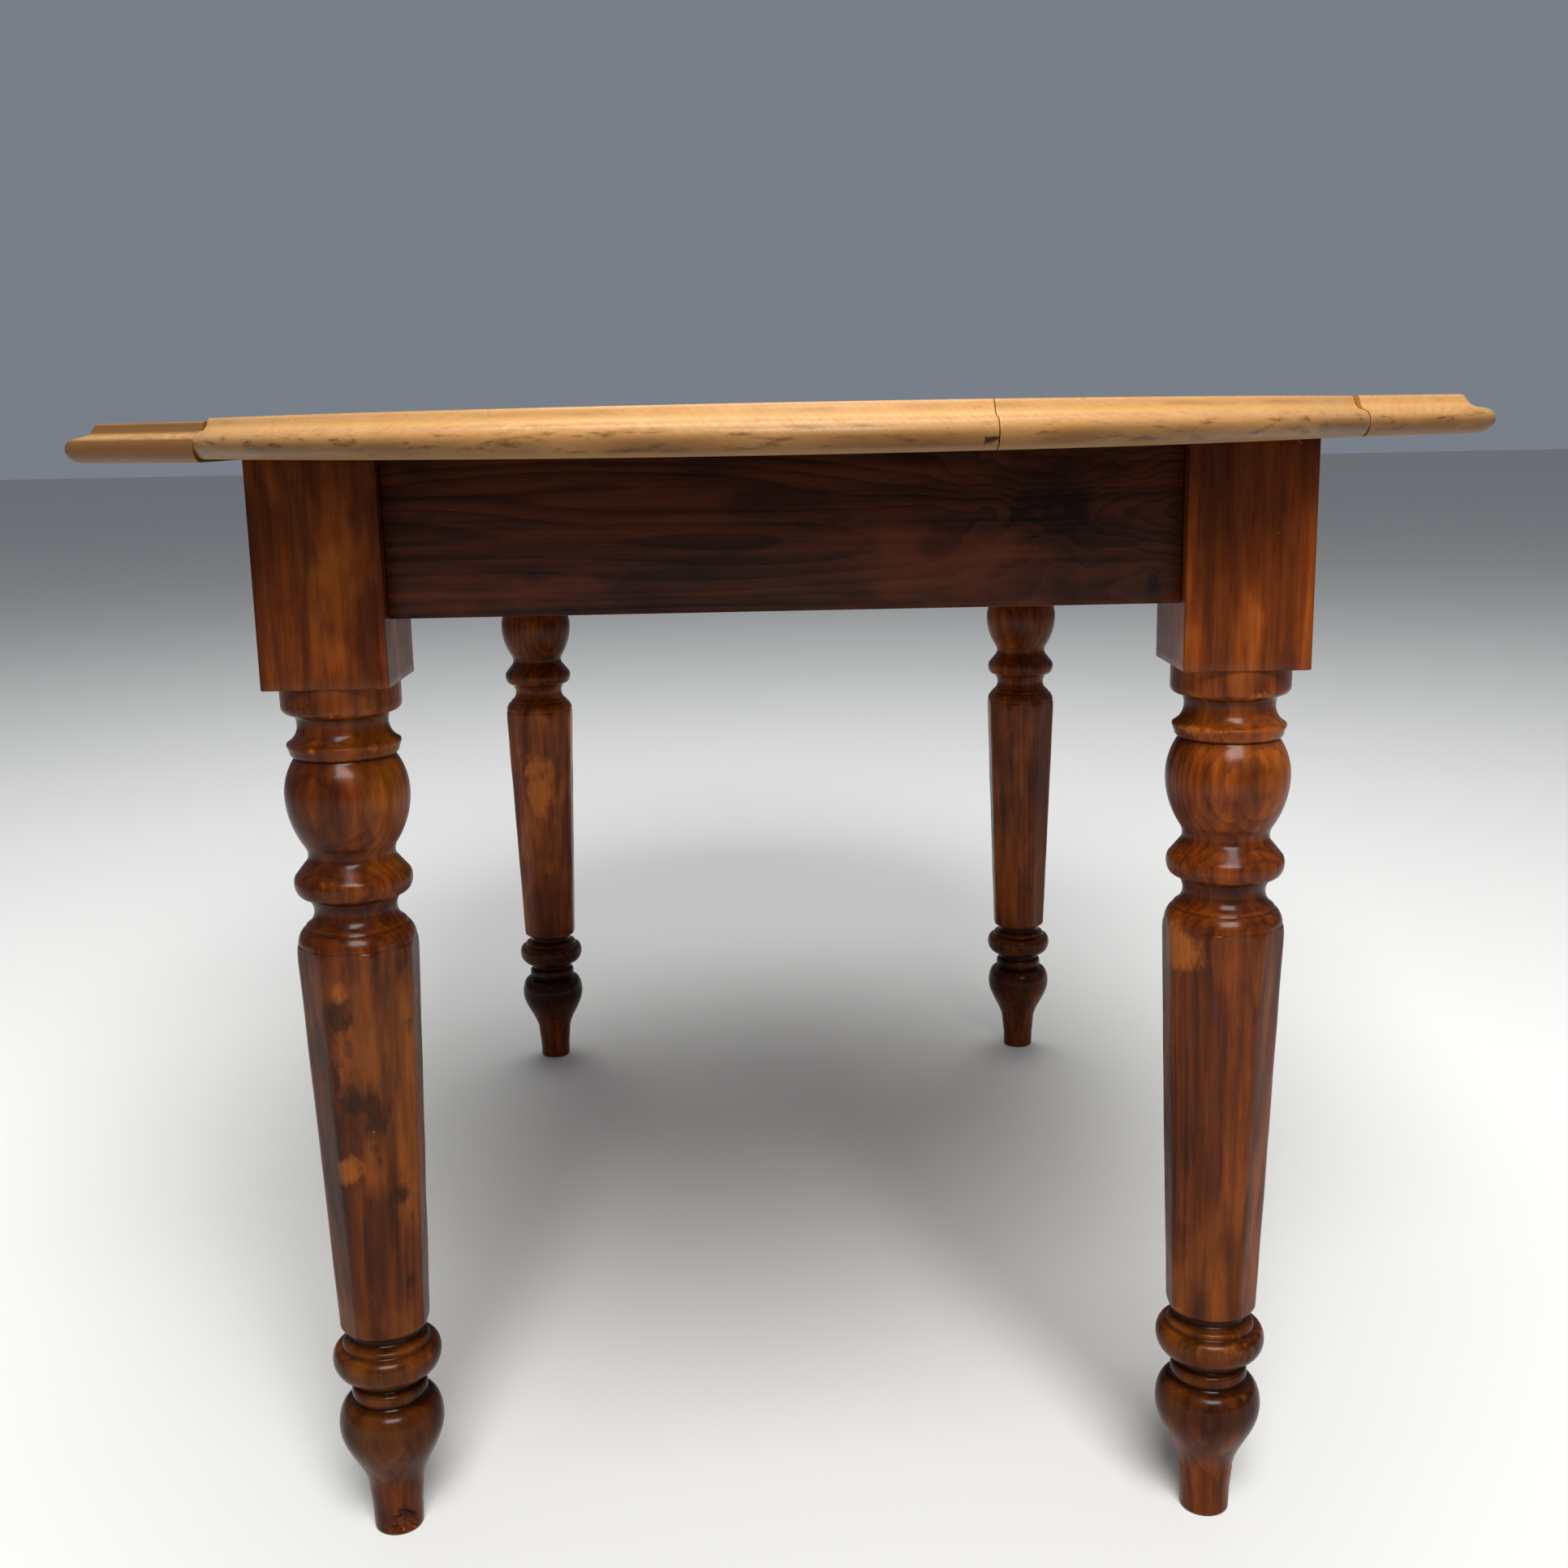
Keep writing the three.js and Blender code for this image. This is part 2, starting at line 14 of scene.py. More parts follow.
import bmesh
import bpy
import numpy as np
from mathutils import Euler, Matrix, Vector


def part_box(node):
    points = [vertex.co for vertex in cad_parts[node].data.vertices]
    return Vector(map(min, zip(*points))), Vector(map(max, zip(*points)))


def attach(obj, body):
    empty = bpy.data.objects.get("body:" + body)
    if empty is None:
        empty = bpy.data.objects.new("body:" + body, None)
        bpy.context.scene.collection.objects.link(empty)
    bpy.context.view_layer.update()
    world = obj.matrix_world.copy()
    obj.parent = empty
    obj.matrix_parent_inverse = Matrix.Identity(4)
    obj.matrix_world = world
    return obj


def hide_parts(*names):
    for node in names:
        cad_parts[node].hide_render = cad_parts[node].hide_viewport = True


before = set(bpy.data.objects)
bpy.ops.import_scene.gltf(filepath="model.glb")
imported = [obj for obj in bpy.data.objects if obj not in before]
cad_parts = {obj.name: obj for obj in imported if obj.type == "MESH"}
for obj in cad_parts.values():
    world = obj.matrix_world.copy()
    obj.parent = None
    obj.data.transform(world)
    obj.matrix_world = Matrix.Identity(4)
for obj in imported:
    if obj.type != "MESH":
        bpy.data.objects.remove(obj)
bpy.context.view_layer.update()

LOG = logging.getLogger("drop_leaf_table")
MM = 0.001
SAME_PLACE = 2e-6  # points closer than this, in metres, are one
FLAT_ENOUGH = math.radians(1)  # faces that turn by less are merged
Point = tuple[float, float, float]


# ------------------------------------------------------------------------------ named choices


class Grain(Enum):
    """The way a piece's grain runs, as the turn that brings it upright."""

    ALONG_X = (0.0, math.radians(90), 0.0)
    ALONG_Y = (math.radians(90), 0.0, 0.0)
    ALONG_Z = (0.0, 0.0, 0.0)


class Run(Enum):
    """The shape of a stretch of turning, up to the station that names it."""

    LINE = "straight"
    ROUND = "quarter round, steep at its thin end"
    COVE = "quarter hollow, steep at its thick end"
    SWELL = "arc of a circle, upright at its thick end"
    FLARE = "arc of a circle, upright at its thin end"
    OGEE = "double curve"


class Side(Enum):
    """The two long sides of the table, as the sign of X."""

    LEFT = -1
    RIGHT = 1

    @property
    def word(self) -> str:
        """The side's name in node names."""
        return self.name.lower()

    @property
    def leaf(self) -> str:
        """This side's leaf: its CAD node, and the body that it moves."""
        return f"{self.word}_leaf"


class Slot(Enum):
    """Material slot names."""

    TOP = "top_wood"
    LEG = "leg_wood"
    RAIL = "rail_wood"
    BARE = "bare_wood"
    IRON = "hinge_iron"
    STEEL = "screw_steel"


# ------------------------------------------------------------------------------ mesh helpers


def new_object(name: str, data: bpy.types.ID) -> bpy.types.Object:
    """Links a mesh, a light or a camera into the scene as an object at the origin.

    Args:
        name: The object's name.
        data: What it shows, which takes the same name.

    Returns:
        The new object.
    """
    data.name = name
    thing = bpy.data.objects.new(name, data)
    bpy.context.scene.collection.objects.link(thing)
    return thing


def to_mesh(bm: bmesh.types.BMesh, crease: float = 32.0) -> bpy.types.Mesh:
    """Turns an edit mesh into a plain one, smooth except over its sharper edges.

    Args:
        bm: The edit mesh, which is freed.
        crease: Edges that turn by more degrees than this stay sharp.

    Returns:
        The new mesh.
    """
    mesh = bpy.data.meshes.new("finished")
    bm.to_mesh(mesh)
    bm.free()
    mesh.shade_smooth()
    mesh.set_sharp_from_angle(angle=math.radians(crease))
    return mesh


def grid_faces(rings: int, columns: int) -> np.ndarray:
    """Quads that join stacked closed rings, facing out when the rings run anticlockwise and up.

    Args:
        rings: How many rings there are.
        columns: Points to each ring.

    Returns:
        Rows of four point numbers.
    """
    ring, column = np.meshgrid(np.arange(rings - 1), np.arange(columns), indexing="ij")
    after = (column + 1) % columns
    low, high = ring * columns, (ring + 1) * columns
    corners = (low + column, low + after, high + after, high + column)
    return np.stack([c.ravel() for c in corners], axis=1)


def ring_solid(rings: np.ndarray) -> bmesh.types.BMesh:
    """A closed solid from stacked rings, with a flat face over each end.

    Args:
        rings: Points, as rings by columns by xyz.

    Returns:
        The solid as an edit mesh.
    """
    count, columns, _ = rings.shape
    mesh = bpy.data.meshes.new("rings")
    faces = [tuple(face) for face in grid_faces(count, columns).tolist()]
    faces.append(tuple(range(columns - 1, -1, -1)))
    faces.append(tuple(range((count - 1) * columns, count * columns)))
    mesh.from_pydata(rings.reshape(-1, 3).tolist(), [], faces)
    bm = bmesh.new()
    bm.from_mesh(mesh)
    bpy.data.meshes.remove(mesh)
    return bm


def ease_edges(bm: bmesh.types.BMesh, width: float, angle: float = 35.0, segments: int = 2) -> None:
    """Rounds every edge that turns by more than an angle.

    Args:
        bm: The edit mesh to change.
        width: How far the rounding reaches from the edge.
        angle: The least turn of an edge that is rounded, in degrees.
        segments: Steps across the rounding.
    """
    least = math.radians(angle)
    sharp = [e for e in bm.edges if len(e.link_faces) == 2 and e.calc_face_angle(0.0) > least]
    bmesh.ops.bevel(bm, geom=sharp, offset=width, segments=segments, profile=0.5, affect="EDGES",
                    clamp_overlap=True)


def eased_copy(node: str, width: float) -> bmesh.types.BMesh:
    """A merged copy of a CAD node with its edges eased.

    Args:
        node: The CAD node's name.
        width: How far the rounding reaches from an edge.

    Returns:
        The copy as an edit mesh.
    """
    bm = bmesh.new()
    bm.from_mesh(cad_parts[node].data)
    bmesh.ops.remove_doubles(bm, verts=bm.verts, dist=SAME_PLACE)
    bmesh.ops.dissolve_limit(bm, angle_limit=FLAT_ENOUGH, verts=bm.verts, edges=bm.edges)
    ease_edges(bm, width)
    return bm


def box_mesh(low: Sequence[float], high: Sequence[float]) -> bmesh.types.BMesh:
    """A box between two corners.

    Args:
        low: Its least x, y and z.
        high: Its greatest x, y and z.

    Returns:
        The box as an edit mesh.
    """
    size = Vector(high) - Vector(low)
    middle = (Vector(high) + Vector(low)) / 2
    bm = bmesh.new()
    bmesh.ops.create_cube(bm, size=1.0, matrix=Matrix.Translation(middle) @ Matrix.Diagonal((*size, 1.0)))
    return bm


def bar_mesh(radius: float, start: Point, end: Point, sides: int = 32, taper: float = 1.0
             ) -> bmesh.types.BMesh:
    """A round bar between two points.

    Args:
        radius: The bar's radius at its start.
        start: The middle of one end.
        end: The middle of the other end.
        sides: Facets round the bar.
        taper: The end's radius, as a share of the start's.

    Returns:
        The bar as an edit mesh.
    """
    way = Vector(end) - Vector(start)
    turn = way.to_track_quat("Z", "Y").to_matrix().to_4x4()
    place = Matrix.Translation((Vector(start) + Vector(end)) / 2) @ turn
    bm = bmesh.new()
    bmesh.ops.create_cone(bm, cap_ends=True, segments=sides, radius1=radius, radius2=radius * taper,
                          depth=way.length, matrix=place)
    return bm


def gather(solids: Iterable[bmesh.types.BMesh]) -> bmesh.types.BMesh:
    """Puts several edit meshes into one.

    Args:
        solids: The edit meshes, which are freed.

    Returns:
        All of them as one edit mesh.
    """
    whole = bmesh.new()
    for solid in solids:
        part = bpy.data.meshes.new("part")
        solid.to_mesh(part)
        solid.free()
        whole.from_mesh(part)
        bpy.data.meshes.remove(part)
    return whole


def combine(base: bmesh.types.BMesh, tool: bmesh.types.BMesh, operation: str) -> bmesh.types.BMesh:
    """Joins or cuts one edit mesh with another, and frees both.

    Args:
        base: The solid that is kept.
        tool: The solid, or separate solids, that it is worked with.
        operation: UNION or DIFFERENCE.

    Returns:
        The result as an edit mesh.
    """
    pair = []
    for role, bm in (("base", base), ("tool", tool)):
        mesh = bpy.data.meshes.new(role)
        bm.to_mesh(mesh)
        bm.free()
        pair.append(new_object(role, mesh))
    cutter = pair[0].modifiers.new("cut", "BOOLEAN")
    cutter.operation = operation
    cutter.solver = "EXACT"
    cutter.object = pair[1]
    evaluated = pair[0].evaluated_get(bpy.context.evaluated_depsgraph_get())
    mesh = bpy.data.meshes.new_from_object(evaluated)
    result = bmesh.new()
    result.from_mesh(mesh)
    bpy.data.meshes.remove(mesh)
    for thing in pair:
        data = thing.data
        bpy.data.objects.remove(thing)
        bpy.data.meshes.remove(data)
    return result


def smooth_path(points: np.ndarray, steps: int) -> np.ndarray:
    """A Catmull-Rom curve through points.

    Args:
        points: Rows of (x, y).
        steps: Steps to each stretch between two points.

    Returns:
        The curve's points as rows of (x, y).
    """
    padded = np.vstack([2 * points[0] - points[1], points, 2 * points[-1] - points[-2]])
    path = []
    for i in range(len(points) - 1):
        a, b, c, d = padded[i:i + 4]
        for t in np.arange(steps) / steps:
            path.append(0.5 * (2 * b + (c - a) * t + (2 * a - 5 * b + 4 * c - d) * t**2
                               + (3 * b - a - 3 * c + d) * t**3))
    path.append(points[-1])
    return np.array(path)


def finish_piece(name: str, bm: bmesh.types.BMesh, material: bpy.types.Material, body: str,
                 replaced: Sequence[str] = (), crease: float = 32.0) -> None:
    """Makes a dressed piece, hands it to the frame and reports it.

    Args:
        name: The piece's name.
        bm: Its shape in place, which is freed.
        material: Its finish.
        body: The CAD body that it moves with.
        replaced: The CAD nodes that it stands for.
        crease: Edges that turn by more degrees than this stay sharp.
    """
    piece = new_object(name, to_mesh(bm, crease))
    piece.data.materials.append(material)
    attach(piece, body)
    if replaced:
        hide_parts(*replaced)
    LOG.info("%s rides on %s, %d faces", name, body, len(piece.data.polygons))


# ------------------------------------------------------------------------------ node helpers


@dataclass(frozen=True)
class Polish:
    """A finish's steady shine: the wood's own, and that of the clear coat over it."""

    specular: float = 0.5
    coat: float = 0.0
    coat_roughness: float = 0.03
    coat_ior: float = 1.5


class NodeTree:
    """A node tree that is built by short calls."""

    tree: bpy.types.NodeTree

    def put(self, socket: bpy.types.NodeSocket, value: object) -> None:
        """Links a socket to another, or sets its value.

        Args:
            socket: The input socket.
            value: Another socket, or a value; three numbers will do for a colour.
        """
        if isinstance(value, bpy.types.NodeSocket):
            self.tree.links.new(value, socket)
        elif isinstance(value, tuple) and len(value) == 3 and socket.type == "RGBA":
            socket.default_value = (*value, 1.0)
        else:
            socket.default_value = value

    def add(self, kind: str, inputs: dict[object, object], **settings: object) -> bpy.types.Node:
        """Adds a node.

        Args:
            kind: The node's type name.
            inputs: Socket name or number to a value or another socket.
            **settings: The node's own properties.

        Returns:
            The new node.
        """
        node = self.tree.nodes.new(kind)
        for key, value in settings.items():
            setattr(node, key, value)
        for key, value in inputs.items():
            self.put(node.inputs[key], value)
        return node


class Sheet(NodeTree):
    """One material's node tree, with short calls for the nodes that the finishes use."""

    def __init__(self, name: str) -> None:
        """Starts a material with its Principled shader.

        Args:
            name: The material's name.
        """
        self.material = bpy.data.materials.new(name)
        self.material.use_nodes = True
        self.tree = self.material.node_tree
        self.shader = self.tree.nodes["Principled BSDF"]

    def place(self, turn: Point = (0, 0, 0), shift: Point = (0, 0, 0)) -> bpy.types.NodeSocket:
        """Object coordinates, turned and moved.

        Args:
            turn: The turn about each axis, in radians.
            shift: The move, in metres.

        Returns:
            The coordinates.
        """
        coordinates = self.add("ShaderNodeTexCoord", {}).outputs["Object"]
        inputs = {"Vector": coordinates, "Location": shift, "Rotation": turn}
        return self.add("ShaderNodeMapping", inputs).outputs[0]

    def height(self) -> bpy.types.NodeSocket:
        """The height above the floor, in metres."""
        return self.parts(self.place())["Z"]

    def stretch(self, vector: bpy.types.NodeSocket, scale: Point) -> bpy.types.NodeSocket:
        """Scales a vector along its axes."""
        return self.add("ShaderNodeVectorMath", {0: vector, 1: scale}, operation="MULTIPLY").outputs[0]

    def noise(self, vector: bpy.types.NodeSocket, scale: float, detail: float = 3.0, rough: float = 0.5,
              colour: bool = False) -> bpy.types.NodeSocket:
        """Noise over a vector.

        Args:
            vector: Where it is read.
            scale: How many spots it has to a metre, about.
            detail: How many finer layers lie over it.
            rough: How strong each finer layer is.
            colour: Whether it is read as a colour, three numbers for one.

        Returns:
            The noise.
        """
        inputs = {"Vector": vector, "Scale": scale, "Detail": detail, "Roughness": rough}
        return self.add("ShaderNodeTexNoise", inputs).outputs["Color" if colour else 0]

    def mottle(self, vector: bpy.types.NodeSocket, squeeze: Point, scale: float, detail: float = 3.0,
               rough: float = 0.5) -> bpy.types.NodeSocket:
        """Noise whose spots are drawn out along the axes that squeeze makes small."""
        return self.noise(self.stretch(vector, squeeze), scale, detail, rough)

    def product(self, a: object, b: object) -> bpy.types.NodeSocket:
        """Two numbers multiplied."""
        return self.sum("MULTIPLY", a, b)

    def total(self, *terms: object) -> bpy.types.NodeSocket:
        """Numbers added up in order.

        Args:
            *terms: Sockets or numbers.

        Returns:
            Their sum.
        """
        whole = terms[0]
        for term in terms[1:]:
            whole = self.sum("ADD", whole, term)
        return whole

    def near(self, value: object, middle: float, reach: float, most: float) -> bpy.types.NodeSocket:
        """A soft peak where a value is close to a middle one.

        Args:
            value: The value to test.
            middle: Where the peak stands.
            reach: How far from there it falls to nothing.
            most: Its height.

        Returns:
            The peak.
        """
        away = self.sum("ABSOLUTE", self.sum("SUBTRACT", value, middle))
        return self.span(away, 0.0, reach, most, 0.0, smooth=True)

    def surface(self, colour: object, roughness: object, normal: object, shine: Polish = Polish()) -> None:
        """Wires up the shader.

        Args:
            colour: The base colour.
            roughness: The roughness.
            normal: The bumped normal.
            shine: The steady values.
        """
        inputs = self.shader.inputs
        self.put(inputs["Base Color"], colour)
        self.put(inputs["Roughness"], roughness)
        self.put(inputs["Normal"], normal)
        inputs["Specular IOR Level"].default_value = shine.specular
        inputs["Coat Weight"].default_value = shine.coat
        inputs["Coat Roughness"].default_value = shine.coat_roughness
        inputs["Coat IOR"].default_value = shine.coat_ior

    def sum(self, operation: str, a: object, b: object = 0.0, clamp: bool = False
            ) -> bpy.types.NodeSocket:
        """One Math node."""
        return self.add("ShaderNodeMath", {0: a, 1: b}, operation=operation, use_clamp=clamp).outputs[0]

    def span(self, value: object, low: float, high: float, to_low: float = 0.0, to_high: float = 1.0,
             smooth: bool = False) -> bpy.types.NodeSocket:
        """Maps one range of a value onto another, clamped.

        Args:
            value: The value.
            low: Where its range starts.
            high: Where its range ends.
            to_low: What the start becomes.
            to_high: What the end becomes.
            smooth: Whether the change eases in and out.

        Returns:
            The mapped value.
        """
        kind = "SMOOTHSTEP" if smooth else "LINEAR"
        return self.add("ShaderNodeMapRange", {0: value, 1: low, 2: high, 3: to_low, 4: to_high},
                        interpolation_type=kind).outputs[0]

    def blend(self, share: object, a: object, b: object, way: str = "MIX") -> bpy.types.NodeSocket:
        """Mixes two colours."""
        node = self.add("ShaderNodeMix", {0: share, 6: a, 7: b}, data_type="RGBA", blend_type=way)
        return node.outputs[2]

    def ramp(self, value: object, stops: Sequence[tuple[float, Point]]) -> bpy.types.NodeSocket:
        """A colour ramp.

        Args:
            value: The value that is looked up.
            stops: Rows of (place, colour), from the lowest place up.

        Returns:
            The colour.
        """
        node = self.add("ShaderNodeValToRGB", {0: value})
        elements = node.color_ramp.elements
        while len(elements) < len(stops):
            elements.new(0.5)
        for element, (place, colour) in zip(elements, stops):
            element.position = place
            element.color = (*colour, 1.0)
        return node.outputs[0]

    def attribute(self, name: str) -> bpy.types.NodeSocket:
        """One of the piece's own point values."""
        return self.add("ShaderNodeAttribute", {}, attribute_name=name).outputs["Fac"]

    def parts(self, vector: bpy.types.NodeSocket) -> bpy.types.bpy_prop_collection:
        """The three numbers of a vector."""
        return self.add("ShaderNodeSeparateXYZ", {0: vector}).outputs

    def bump(self, height: object, distance: float, strength: float = 1.0,
             under: Optional[bpy.types.NodeSocket] = None) -> bpy.types.NodeSocket:
        """A bumped normal.

        Args:
            height: The height of the surface.
            distance: How far a height of 1 lifts it, in metres.
            strength: How strongly the bump shows.
            under: The normal that it lies over, if there is one.

        Returns:
            The normal.
        """
        inputs = {"Height": height, "Distance": distance, "Strength": strength}
        if under is not None:
            inputs["Normal"] = under
        return self.add("ShaderNodeBump", inputs).outputs[0]


# ------------------------------------------------------------------------------ wood finishes


@dataclass(frozen=True)
class Knot:
    """A knot that the grain flows round: where it is, how far it reaches, how many rings it turns."""

    place: Point
    reach: float
    turns: float


@dataclass(frozen=True)
class Timber:
    """How one piece was cut from its tree.

    Attributes:
        grain: The way the grain runs.
        heart: A point on the tree's heart line, in the frame's axes.
        shift: A place in the noise, so that no two pieces match.
        knots: The knots near its faces.
    """

    grain: Grain
    heart: Point
    shift: Point
    knots: tuple[Knot, ...] = ()


@dataclass(frozen=True)
class WoodFigure:
    """The grain under a finish.

    Attributes:
        early: Colour of the pale, spring side of a ring.
        late: Colour of its dark, summer side.
        deep: Colour of the darkest streaks and pores.
        ring: Width of one growth ring.
        ring_share: How strongly rings show.
        streak_share: How strongly broad streaks show.
        wander: How far rings stray from true.
        sweep: How closely their bends follow each other.
        ripple: How far small ripples move a ring, in ring widths.
        pore_share: How dark the pores are.
        scales: Spots to a metre of the ripples, knot edges, streaks, fibres and pores.
    """

    early: Point
    late: Point
    deep: Point
    ring: float = 0.0035
    ring_share: float = 0.6
    streak_share: float = 0.5
    wander: float = 0.012
    sweep: float = 7.0
    ripple: float = 0.8
    pore_share: float = 0.45
    scales: tuple[float, ...] = (70.0, 38.0, 120.0, 620.0, 1100.0)

    def layers(self, sheet: Sheet, timber: Timber) -> tuple[bpy.types.NodeSocket, ...]:
        """Adds the grain to a material.

        Args:
            sheet: The material's nodes.
            timber: How the piece was cut.

        Returns:
            The wood's colour, its ring value, its fibre value and its pore value.
        """
        turn = timber.grain.value
        ripples, knot_edges, streaks, fibres, pores = self.scales
        heart = Euler(turn).to_matrix() @ Vector(timber.heart)
        upright = sheet.place(turn=turn, shift=timber.shift)
        slow = sheet.noise(sheet.stretch(upright, (1.0, 1.0, 0.14)), self.sweep, 2.0, colour=True)
        stray = sheet.add("ShaderNodeVectorMath", {0: slow, 1: (0.5, 0.5, 0.5)}, operation="SUBTRACT")
        reach = 4 * self.wander
        warp = sheet.stretch(stray.outputs[0], (reach, reach, 0.0))
        centred = sheet.place(turn=turn, shift=tuple(-heart))
        bent = sheet.add("ShaderNodeVectorMath", {0: centred, 1: warp}, operation="ADD").outputs[0]
        flat = sheet.stretch(bent, (1.0, 1.0, 0.0))
        radius = sheet.add("ShaderNodeVectorMath", {0: flat}, operation="LENGTH").outputs["Value"]
        uneven = sheet.mottle(upright, (1.0, 1.0, 0.05), ripples, 1.0)
        phase = sheet.total(sheet.sum("DIVIDE", radius, self.ring), sheet.product(uneven, self.ripple))
        knotty = 0.0
        for knot in timber.knots:
            stray = sheet.noise(upright, knot_edges, 2.0, colour=True)
            ragged = sheet.stretch(stray, (reach, reach, reach))
            bumped = sheet.add("ShaderNodeVectorMath", {0: sheet.place(), 1: ragged}, operation="ADD")
            middle = tuple(value + reach / 2 for value in knot.place)
            away = sheet.add("ShaderNodeVectorMath", {0: bumped.outputs[0], 1: middle}, operation="DISTANCE")
            near = sheet.span(away.outputs["Value"], 0.0, knot.reach, 1.0, 0.0, smooth=True)
            phase = sheet.total(phase, sheet.product(near, knot.turns))
            knotty = sheet.sum("MAXIMUM", knotty, sheet.span(near, 0.75, 1.0, 0.0, 0.7))
        saw = sheet.sum("FRACT", phase)
        ring = sheet.product(sheet.sum("POWER", saw, 2.2), sheet.span(saw, 0.9, 1.0, 1.0, 0.0))
        streak = sheet.mottle(upright, (1.0, 1.0, 0.035), streaks, 4.0, 0.6)
        fibre = sheet.mottle(upright, (1.0, 1.0, 0.02), fibres, 2.0)
        pore = sheet.span(sheet.mottle(upright, (1.0, 1.0, 0.03), pores, 1.0), 0.62, 0.72)
        tone = sheet.total(sheet.product(ring, self.ring_share),
                           sheet.product(sheet.span(streak, 0.32, 0.7), self.streak_share),
                           sheet.span(fibre, 0.3, 0.7, -0.08, 0.08))
        tone = sheet.sum("ADD", tone, knotty, clamp=True)
        colour = sheet.ramp(tone, [(0.0, self.early), (0.55, self.late), (1.0, self.deep)])
        colour = sheet.blend(sheet.product(pore, self.pore_share), colour, self.deep)
        return colour, ring, fibre, pore


@dataclass(frozen=True)
class LegVarnish:
    """Red-brown stain under glossy varnish, dark in the hollows and rubbed through where proud.

    Attributes:
        figure: The grain under it.
        stain: Colour of the stain where it lies thick.
        rubbed: Colour of the wood where the stain is worn off.
        blotch: Colour of the dark mottling.
        speck: Colour of small knocks.
        foot_tones: Rows of (height, brightness) below the shaft.
        shaft: Where the shaft's even tone starts and ends, in metres.
        shaft_tone: The shaft's brightness.
        neck_tones: Rows of (height, brightness) above the shaft; the rows from the block's foot up darken its
            top as painted shade under the top's overhang.
        shine: The steady values.
    """

    figure: WoodFigure = WoodFigure(early=(0.33, 0.070, 0.0064), late=(0.165, 0.030, 0.0031),
                                    deep=(0.040, 0.0085, 0.0019), ring=0.0052, ring_share=0.42,
                                    streak_share=0.62, wander=0.012, sweep=9.0)
    stain: Point = (0.011, 0.0030, 0.0017)
    rubbed: Point = (0.50, 0.142, 0.017)
    blotch: Point = (0.020, 0.0060, 0.0026)
    speck: Point = (0.4, 0.25, 0.14)
    foot_tones: tuple[tuple[float, float], ...] = ((0.04, 0.75), (0.08, 0.22), (0.13, 0.35))
    shaft: tuple[float, float] = (0.18, 0.41)
    shaft_tone: float = 0.57
    # The rows from 0.60 up are painted shade: the block darkens towards its top, under the top's overhang.
    neck_tones: tuple[tuple[float, float], ...] = (
        (0.45, 0.76), (0.57, 0.80), (0.60, 1.0), (0.67, 0.84), (0.72, 0.48))
    shine: Polish = Polish(specular=0.03, coat=0.23, coat_roughness=0.18, coat_ior=1.42)

    def dress(self, name: str, timber: Timber, blotches: float, rubbing: float) -> bpy.types.Material:
        """Makes one leg's material.

        Args:
            name: The material's name.
            timber: How the leg was cut.
            blotches: How much dark mottling it has, from 0 to 1.
            rubbing: How much of the stain is worn through, from 0 to 1.

        Returns:
            The material.
        """
        sheet = Sheet(name)
        colour, ring, fibre, _ = self.figure.layers(sheet, timber)
        place, height = sheet.place(shift=timber.shift), sheet.height()
        cloud = sheet.mottle(place, (1, 1, 0.45), 14.0, 4.0, 0.6)
        patch = sheet.mottle(place, (1, 1, 0.6), 34.0, 3.0, 0.55)
        ragged = sheet.mottle(place, (1, 1, 0.55), 70.0, 5.0, 0.68)
        flame = sheet.mottle(place, (1, 1, 0.15), 58.0, 4.0, 0.6)
        hollow, proud = sheet.attribute("hollow"), sheet.attribute("proud")
        edge, rub, blot = sheet.attribute("edge"), sheet.attribute("rub"), sheet.attribute("blot")
        # The stain, thick and thin, and dark flames along the grain.
        colour = sheet.blend(sheet.span(cloud, 0.40, 0.70, 0.0, 0.7), colour, self.stain)
        amber = sheet.span(cloud, 0.50, 0.34, 0.0, 0.3 + 0.3 * blotches)
        colour = sheet.blend(amber, colour, self.rubbed)
        colour = sheet.blend(sheet.span(flame, 0.44, 0.70, 0.0, 0.8), colour, self.figure.deep)
        # Dark mottling, weaker on the turned neck.
        mottle = sheet.total(sheet.product(patch, 0.5), sheet.product(blot, 0.2),
                             sheet.product(ragged, 1.1))
        least = 1.04 - 0.20 * blotches
        mottle = sheet.span(mottle, least, least + 0.25, 0.0, 0.78, smooth=True)
        mottle = sheet.product(mottle, sheet.span(height, 0.42, 0.47, 1.0, 0.3))
        colour = sheet.blend(mottle, colour, self.blotch)
        # Stain pooled in the hollows.
        pooled = sheet.product(hollow, sheet.span(patch, 0.25, 0.6, 0.98, 0.75))
        colour = sheet.blend(pooled, colour, self.stain)
        # Wear: on proud turning, in the worn patches and along the arrises.
        high = sheet.span(sheet.total(ragged, sheet.product(proud, 0.22 * rubbing)),
                          0.60, 0.74, smooth=True)
        high = sheet.product(high, sheet.span(proud, 0.0, 0.4, 0.0, 0.8))
        shed = sheet.total(sheet.product(ragged, 1.3), sheet.product(rub, 0.62),
                           sheet.product(flame, 0.5))
        shed = sheet.span(shed, 1.16, 1.46, 0.0, 0.75, smooth=True)
        rim = sheet.product(edge, sheet.span(patch, 0.35, 0.65, 0.05, 0.6))
        worn = sheet.sum("MAXIMUM", sheet.sum("MAXIMUM", high, shed), rim)
        fresh = sheet.blend(sheet.span(fibre, 0.35, 0.65, 0.0, 0.45), self.rubbed, self.figure.early)
        colour = sheet.blend(worn, colour, fresh)
